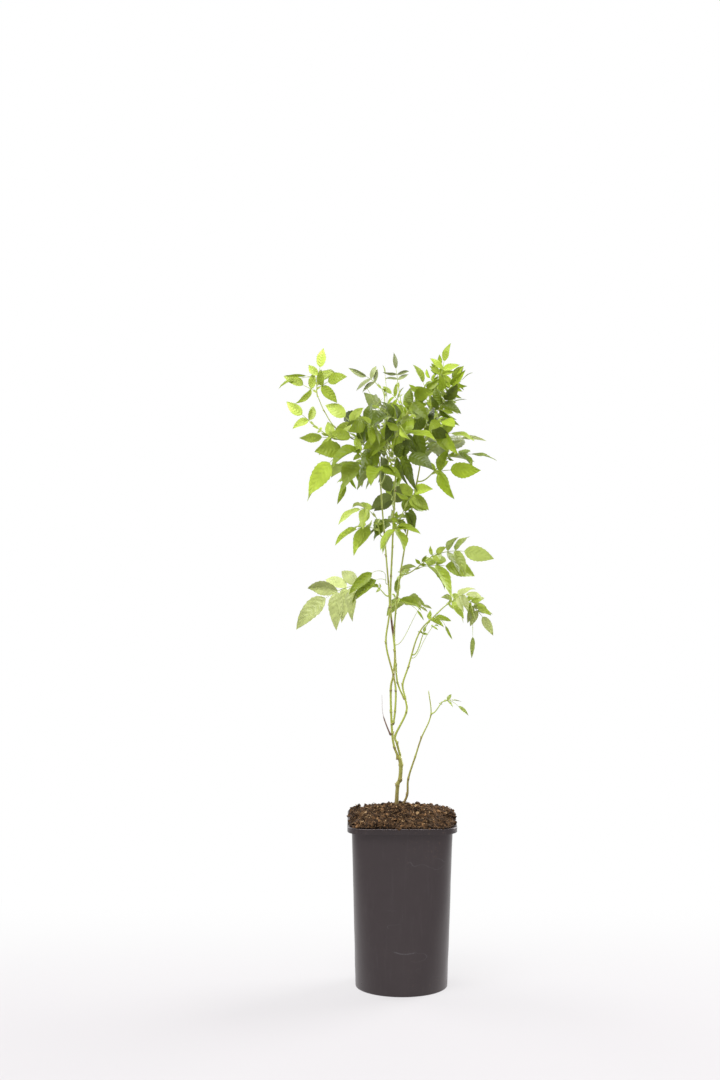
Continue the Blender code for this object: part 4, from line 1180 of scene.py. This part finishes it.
def twig_skin(corners, facing, knots, thin=1.0):
    """A twig's skin: a tapering tube along its cubic curve, from just inside the stem, with a
    collar at its foot and a small bell at each leaf's foot. The tip is drawn in to a point."""
    close = [np.clip(knot + 0.008 * np.arange(-2, 3), 0, 1) for knot in knots]
    shares = np.unique(np.concatenate([np.linspace(0.0, 1.0, 30), *close]))
    line = along_twig(corners, shares)
    line = np.vstack([line[0] - unit(facing) * 0.0009, line])
    shares = np.append(0.0, shares)[:, None]
    way = arc_length(line)[:, None]
    radii = TWIG_FOOT + (TWIG_TIP - TWIG_FOOT) * shares
    swell = sum((0.30 * np.exp(-((shares - knot) / 0.012) ** 2) for knot in knots), 0 * shares)
    end = np.clip((way[-1] - way) / 0.0009, 0.2, 1) ** 0.5
    radii = thin * radii * (1 + swell + 0.7 * np.exp(-way / 0.0012)) * end
    return closed_skin(tube(line, radii, 8, facing))


def shoot_finish():
    """Fresh shoot: yellow-green, flushed with brown-red here and there, half glossy."""
    made = Finish("shoot_green", (0.30, 0.37, 0.06), 0.42)
    flush = made.noise(90, 3)
    fine = made.noise(1600, 2, 0.5, made.stretched(1, 1, 0.3))
    colour = made.mix(fine * 0.6, (0.26, 0.33, 0.045), (0.42, 0.48, 0.10))
    colour = made.mix(flush.between(0.58, 0.74) * 0.5, colour, (0.26, 0.15, 0.05))
    return made.vary(colour, 0.38 + fine * 0.14, fine, 0.0001)


shoot_green = shoot_finish()
skins = []
for mass, (corners, facing, _) in zip(MASSES, twigs):
    shares = np.linspace(0, 1, 200)
    line = along_twig(corners, shares)
    feet = [leaf.foot for leaf in leaves if leaf.mass.name == mass.name and not leaf.sprig]
    knots = [shares[np.argmin(np.linalg.norm(line - foot, axis=1))] for foot in feet]
    skins.append(twig_skin(corners, facing, knots))
skins += [twig_skin(corners, facing, (), 0.5) for corners, facing in whips]
twig_piece = piece_of("twigs", *joined(skins), (shoot_green,), 60)
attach(twig_piece, "root")
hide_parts(*MASS_NAMES)


# ---- Leaf stalks ----
# Each leaf has a thin grooved stalk that carries its leaflets in pairs. At its foot the stalk
# swells and bears two narrow wings, the stipules, grown to its sides.


def stalk_skin(leaf):
    """A stalk's skin: a tapering tube on its drooping line, flattened above as 1 - 0.25 cos^8 of
    the turn, with a swollen foot."""
    line = stalk_line(leaf.foot, leaf.out, leaf.stalk, leaf.mass.droop, 9)
    line = np.vstack([line[0] - unit(leaf.out) * 0.0004, line])
    way = arc_length(line)[:, None]
    share = way / way[-1]
    thin = 0.6 if leaf.sprig else 1.0
    groove = 1 - 0.25 * np.maximum(0, np.cos(turns_of(6)[None])) ** 8
    radii = thin * (STALK_FOOT + (STALK_TIP - STALK_FOOT) * share)
    radii = radii * (1 + 0.8 * np.exp(-way / 0.0015))
    end = np.clip(way[-1] / 0.001 - way / 0.001, 0.3, 1)
    return closed_skin(tube(line, radii * groove * end, 6))


def stipule_skin(leaf, side):
    """One wing of a stipule: a thin lens beside the stalk's foot whose half width is a sine of the
    way along, ending in a free point turned out."""
    t = np.linspace(0.0, 1.0, 9)
    length = min(0.30 * leaf.stalk, 0.007)
    ahead = unit(leaf.out)
    up = across(heading_of(leaf.mass.facing) * 0.9 + 0.6 * UP, ahead)
    right = side * np.cross(ahead, up)
    middle = leaf.foot + np.outer(length * t, ahead) + np.outer(0.0007 + 0.0012 * t ** 4, right)
    half = 0.0009 * np.sin(math.pi * t ** 0.7) * (1 - 0.3 * t) + 0.00003
    thick = 0.00012 * np.sin(math.pi * t) + 0.00002
    rings = np.stack([middle + half[:, None] * right, middle + thick[:, None] * up,
                      middle - half[:, None] * right, middle - thick[:, None] * up], 1)
    return closed_skin(rings if side > 0 else rings[:, ::-1])


skins = []
for leaf in leaves:
    skins.append(stalk_skin(leaf))
    if not leaf.sprig:
        skins += [stipule_skin(leaf, side) for side in (1.0, -1.0)]
stalk_piece = piece_of("leaf_stalks", *joined(skins), (shoot_green,), 60)
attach(stalk_piece, "root")
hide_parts(*MASS_NAMES)


# ---- Leaflets ----
# A leaflet is an oval blade with a drawn-out tip and a toothed edge, folded up a little along its
# midrib and quilted between its side veins. It is darker and glossier above than below.

VEINS, VEIN_SLANT, BLADE_ROWS, SMALL_ROWS, TOOTH = 7, 0.17, 16, 8, 0.05
BLADE_THICKNESS, MIDRIB_THICKNESS = 0.00030, 0.00040
FOOT_POWER, TIP_POWER, WIDEST = 0.7, 1.05, 0.308
FOLD_LEAST, FOLD_SWING, HANG_LEAST, HANG_SWING = 0.10, 0.26, 0.04, 0.08
WAVE, BULGE, SIDE_BEND, ROLL, TWIST = 0.10, 0.05, 0.10, 0.50, 0.30


def blades(leaflets, rows, phases):
    """Points (leaflets, rows, columns, 3) of the upper sheets, and of the lower ones under the
    midrib. A blade's middle line is the leaflet's drooping one, bent a little aside with the
    square of the way s. Its half width goes as s^0.7 (1 - s)^1.05, with every second row's edge
    pushed out and ahead as a tooth. Each half rises by the fold, bulges between midrib and edge,
    waves as a sine of s, and drops with the cube of s. The blade rolls to one side and twists on
    to its tip."""
    foot, way, face, length, width, sag = (np.array(column, float) for column in zip(*leaflets))
    s = np.linspace(0, 1, rows + 1)[1:-1][None, :, None]
    v = np.array((-1.0, -0.5, 0.0, 0.5, 1.0))[None, None]
    tooth = np.where(np.arange(1, rows) % 2 == 0, 1.0, -0.6)[None, :, None] * (np.abs(v) == 1)
    at = s + 0.42 / rows * np.maximum(tooth, 0)
    length, width, sag, phase = (column[:, None, None] for column in (length, width, sag, phases))
    half = 0.5 * width * at ** FOOT_POWER * (1 - at) ** TIP_POWER / WIDEST
    fold = FOLD_LEAST + FOLD_SWING * (1 + np.sin(41 * phase))
    hang = (HANG_LEAST + HANG_SWING * (1 + np.sin(23 * phase))) * length
    spread = half * v * (1 + TOOTH * tooth) / np.sqrt(1 + fold ** 2)
    lift = half * (fold * np.abs(v) + WAVE * np.sin(2 * math.pi * (1.6 * s + phase) + v) * np.abs(v)
                   + BULGE * (np.abs(v) == 0.5)) - hang * s ** 3
    way, face = way[:, None, None], face[:, None, None]
    at, sag, length, phase = at[..., None], sag[..., None], length[..., None], phase[..., None]
    bend = SIDE_BEND * np.sin(13 * phase) * np.cross(across(face, way), way)
    middle = foot[:, None, None] + length * (way * at + (0.5 * sag * DOWN + bend) * at ** 2)
    ahead = unit(way + (sag * DOWN + 2 * bend) * at)
    up = across(face, ahead)
    right = np.cross(up, ahead)
    turn = ROLL * np.sin(17 * phase) + TWIST * np.sin(5 * phase) * at
    up, right = up * np.cos(turn) + right * np.sin(turn), right * np.cos(turn) - up * np.sin(turn)
    upper = middle + right * spread[..., None] + up * lift[..., None]
    thick = (BLADE_THICKNESS * np.sin(math.pi * s) ** 0.5
             + MIDRIB_THICKNESS * (1 - s) * np.clip(8 * s, 0, 1))
    tip = foot + (length * (way + (0.5 * sag * DOWN + bend)))[:, 0, 0] - up[:, -1, 2] * hang[:, 0]
    return upper, upper[:, :, 2] - up[:, :, 2] * thick, foot, tip, s, v


def blade_mesh(leaflets, rows):
    """Points, faces, slots, UV and tones of many closed blades. The upper sheet has four strips
    and the lower one two, and they share their edge and end points. Slot 0 is the upper side and 1
    the lower one. U is the way along, V across, and each blade has one tone, by its foot's
    place."""
    phases = np.array([one.foot for one in leaflets]) @ (1290.0, 782.0, 377.0) % 1
    upper, lower, foot, tip, s, v = blades(leaflets, rows, phases)
    count, lines, columns, _ = upper.shape
    size = lines * (columns + 1) + 2
    own = np.arange(lines * columns).reshape(lines, columns)
    under = np.stack([own[:, 0], lines * columns + np.arange(lines), own[:, -1]], 1)
    points = np.concatenate([upper.reshape(count, -1, 3), lower, foot[:, None], tip[:, None]], 1)
    along = np.concatenate([np.repeat(s.ravel(), columns), s.ravel(), [0, 1]])
    over = np.concatenate([np.tile(v.ravel(), lines), 0 * s.ravel(), [0, 0]])
    uv = np.stack([along, 0.5 + 0.5 * over], 1)
    step = size * np.arange(count)[:, None, None]
    faces, slots, maps = [], [], []
    for slot, (skin, outward) in enumerate(((own, 1), (under, -1))):
        quads = np.stack([skin[:-1, :-1], skin[1:, :-1], skin[1:, 1:], skin[:-1, 1:]], 2)
        ends = np.vstack([np.stack([a, b, 0 * a + end], 1) for a, b, end in (
            (skin[0, :-1], skin[0, 1:], size - 2), (skin[-1, 1:], skin[-1, :-1], size - 1))])
        for group in (quads.reshape(-1, 4)[:, ::outward], ends[:, ::outward]):
            faces.append((group[None] + step).reshape(-1, group.shape[1]))
            slots.append(np.full(count * len(group), slot))
            maps.append(np.tile(uv[group].reshape(-1, 2), (count, 1)))
    tones = np.repeat(0.5 + 0.5 * np.sin(71 * phases), size)
    return points.reshape(-1, 3), faces, np.concatenate(slots), np.vstack(maps), tones


def blade_finish(name, colour, rough, glow, through_share, under=False):
    """One side of a blade. Its colour is plain but for the blade's own tone, soft mottling and
    paler veins, which the piece's own map places, and some light passes through it."""
    made = Finish(name, colour, rough, **{"Specular IOR Level": 0.35})
    mottle = made.noise(140, 3)
    where = made.node("ShaderNodeUVMap", {"uv_map": "Blade"})
    along, over = (made.node("ShaderNodeSeparateXYZ", None, (where,), axis) for axis in "XY")
    aside = abs(over - 0.5) * 2.0
    wave = ((along - aside * VEIN_SLANT) * (2 * math.pi * VEINS)).cosine()
    vein = wave.between(0.80, 1.0) * aside.between(0.98, 0.75)
    vein = vein.larger(aside.between(0.075, 0.03))
    dark, light = (tuple(min(1.0, tone * part) for part in colour) for tone in (0.64, 1.32))
    pale = tuple(0.55 * (part + other) for part, other in zip(colour, (0.42, 0.52, 0.20)))
    shade = made.mix(made.mark("tone") * 0.7 + mottle.between(0.3, 0.7) * 0.3, dark, light)
    shade = made.mix(vein * (0.28 if under else 0.16), shade, pale)
    pores = made.noise(2600, 2)
    quilt = wave * aside.between(1.0, 0.2)
    relief = (vein * 0.9 + pores * 0.1) if under else (0.5 - quilt * 0.4 + pores * 0.015)
    made.vary(shade, rough - 0.06 + mottle * 0.12, relief, 0.00012 if under else 0.0005)
    lit = tuple(min(1.0, part * share) for part, share in zip(colour, glow))
    return made.blend(through_share, made.node("ShaderNodeBsdfTranslucent", None, {"Color": lit}))


# Blade colours, from the deep green of the crown's heart to the yellow-green of new growth
# and the grey-green of leaves that hang with their backs out: the upper side, the under side, the
# share of light that passes through, and the slot. They are partly the leaves' age and partly
# painted light and shade: the deep and dark greens are painted shade inside the crown, and the
# paler, brighter greens are painted light on leaves at the edges and top of the plant, where light
# comes through from behind.
BLADE_COLOURS = {
    "deep": ((0.075, 0.108, 0.004), (0.135, 0.170, 0.045), 0.25, "grown"),
    "dark": ((0.125, 0.175, 0.007), (0.190, 0.235, 0.055), 0.30, "grown"),
    "full": ((0.200, 0.268, 0.015), (0.265, 0.318, 0.080), 0.36, "grown"),
    "mid": ((0.290, 0.375, 0.028), (0.350, 0.410, 0.100), 0.36, "bright"),
    "lime": ((0.365, 0.455, 0.055), (0.420, 0.485, 0.130), 0.36, "bright"),
    "new": ((0.450, 0.535, 0.115), (0.490, 0.550, 0.180), 0.36, "young"),
    "pale": ((0.430, 0.480, 0.190), (0.480, 0.520, 0.250), 0.25, "bright"),
    "soft": ((0.345, 0.415, 0.105), (0.390, 0.440, 0.160), 0.30, "bright"),
    "grey": ((0.290, 0.330, 0.145), (0.350, 0.385, 0.210), 0.20, "bright"),
}
# Each mass's tints, in turn: partly by age, partly painted shade deep in the crown and painted
# light on the plant's edges and top.
TINTS_BY_AGE_AND_LIGHT = {
    "foliage_top": "full lime mid dark lime", "foliage_shoot": "grey mid lime",
    "foliage_high_left": "grey", "foliage_arching_top": "new lime new",
    "foliage_arching_side": "new", "foliage_arching_foot": "lime new",
    "foliage_side_left": "lime", "foliage_side_right": "mid grey full",
    "foliage_crown_left": "full mid deep mid", "foliage_crown_centre": "dark mid deep full",
    "foliage_crown_right": "lime deep mid dark", "foliage_crown_rear_left": "dark full deep",
    "foliage_crown_rear_right": "full dark grey", "foliage_crown_front": "full deep mid lime",
    "foliage_middle_left": "lime new", "foliage_middle_right": "lime soft",
    "foliage_middle_rear": "full dark mid", "foliage_middle_front": "mid full lime",
    "foliage_low_left": "pale", "foliage_low_right": "new pale new pale",
    "foliage_low_centre": "lime", "foliage_low_rear": "lime soft", "foliage_lowest": "soft",
}


def tints_of(leaves):
    """The colour of each leaf: its mass's colours in turn by its order, and a fresh one by chance
    on a sprig. A hair-thin shoot names its own."""
    chances = np.random.default_rng(5).uniform(0, 1, len(leaves))
    found = []
    for leaf, chance in zip(leaves, chances):
        own = TINTS_BY_AGE_AND_LIGHT[leaf.mass.name].split()
        fresh = ("soft", "new", "new") if "pale" in own else ("mid", "lime", "new")
        if leaf.mass.colour in BLADE_COLOURS:
            found.append(leaf.mass.colour)
        else:
            found.append(fresh[int(3 * chance)] if leaf.sprig else own[leaf.order % len(own)])
    return found


leaf_tints = tints_of(leaves)
for tint_name, (upper_colour, under_colour, through_share, slot) in BLADE_COLOURS.items():
    chosen = [leaf for leaf, own_tint in zip(leaves, leaf_tints) if own_tint == tint_name]
    by_size = [([one for leaf in chosen if leaf.sprig == sprig for one in leaf.leaflets], rows)
               for sprig, rows in ((False, BLADE_ROWS), (True, SMALL_ROWS))]
    points, faces, slots, maps, tones = zip(*[blade_mesh(*group) for group in by_size if group[0]])
    name = "blade_" + tint_name
    finishes = (blade_finish(name + "_upper", upper_colour, 0.40, (1.5, 1.5, 0.9), through_share),
                blade_finish(name + "_under", under_colour, 0.60, (1.2, 1.2, 0.6), through_share,
                             True))
    blade = piece_of("leaflets_" + tint_name, *joined(list(zip(points, faces))), finishes, 75,
                     {"tone": np.concatenate(tones)}, np.concatenate(slots), np.concatenate(maps))
    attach(blade, "root")
    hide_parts(*sorted({leaf.mass.name for leaf in chosen}))


# ---- Floor, light and camera ----
# A pale floor without an edge, a soft white surround that is dimmer on the camera's side, two tall
# soft boxes beside the plant and a wide one above it.

FLOOR_RADIUS, FLOOR_SIDES, FLOOR_RINGS = 6.0, 96, 40
WHITE = (1.0, 1.0, 1.0)


def floor_finish():
    """Pale paper that gives off most of its own light, a little dimmer in front than behind."""
    made = Finish("floor_pale", (0.40, 0.39, 0.395), 0.75)
    made.vary(made.mix(made.noise(3, 2), (0.39, 0.382, 0.386), (0.41, 0.402, 0.406)), 0.75)
    behind = made.along("Y").between(-0.3, 0.45)
    glow = made.node("ShaderNodeEmission", None,
                     {"Color": made.mix(behind, (0.83, 0.805, 0.825), WHITE), "Strength": 1.0})
    return made.blend(behind * 0.4 + 0.6, glow)


def make_floor():
    """A disc of rings whose radii grow evenly to six metres, level at the pot's underside."""
    radius = np.linspace(0.05, FLOOR_RADIUS, FLOOR_RINGS)[:, None]
    points, (quads, _) = closed_skin(level_rings(radius, turns_of(FLOOR_SIDES), 0.0))
    return piece_of("floor", points[:-2], (quads[:, ::-1], [range(FLOOR_SIDES)]), (floor_finish(),))


make_floor()

world = bpy.data.worlds.new("surround")
world.use_nodes = True
bpy.context.scene.world = world
sky = Nodes(world.node_tree)
direction = sky.node("ShaderNodeTexCoord", None, (), "Generated")
behind = sky.node("ShaderNodeSeparateXYZ", None, (direction,), "Y").between(-0.3, 0.6)
sky.fill(world.node_tree.nodes["Background"],
         {"Color": sky.mix(behind, (0.62, 0.61, 0.62), WHITE), "Strength": 1.0})


def soft_box(name, place, width, height, power):
    """An area light at a place, turned to the middle of the plant."""
    light = bpy.data.lights.new(name, "AREA")
    light.shape = "RECTANGLE"
    light.size, light.size_y, light.energy = width, height, power
    lamp = bpy.data.objects.new(name, light)
    bpy.context.scene.collection.objects.link(lamp)
    ahead = unit(np.subtract((0, 0, 0.4), place))
    right = unit(np.cross(ahead, UP))
    axes = Matrix((right, np.cross(right, ahead), -ahead)).transposed()
    lamp.matrix_world = Matrix.Translation(place) @ axes.to_4x4()


# Place, width, height and watts of each box.
soft_box("box_left", (-1.5, 1.0, 1.1), 1.2, 2.0, 32)
soft_box("box_right", (1.5, 1.0, 1.1), 1.2, 2.0, 74)
soft_box("box_above", (-0.5, -1.2, 2.3), 1.6, 1.2, 74)

# The camera stands three metres off at the height of the crown and looks down by a few degrees. Its
# focal length is in pixels of the frame's height.
LENS_PIXELS, FRAME_PIXELS, CAMERA_TILT = 2394, 1080, 4.8
lens = bpy.data.cameras.new("view")
lens.sensor_width = 36.0
lens.lens = lens.sensor_width * LENS_PIXELS / FRAME_PIXELS
lens.clip_start, lens.clip_end = 0.1, 50.0
camera = bpy.data.objects.new("view", lens)
camera.location = (-0.0527, -2.992, 0.82)
camera.rotation_euler = (math.radians(90 - CAMERA_TILT), 0.0, 0.0)
bpy.context.scene.collection.objects.link(camera)
bpy.context.scene.camera = camera
bpy.context.scene.view_settings.view_transform = "Standard"
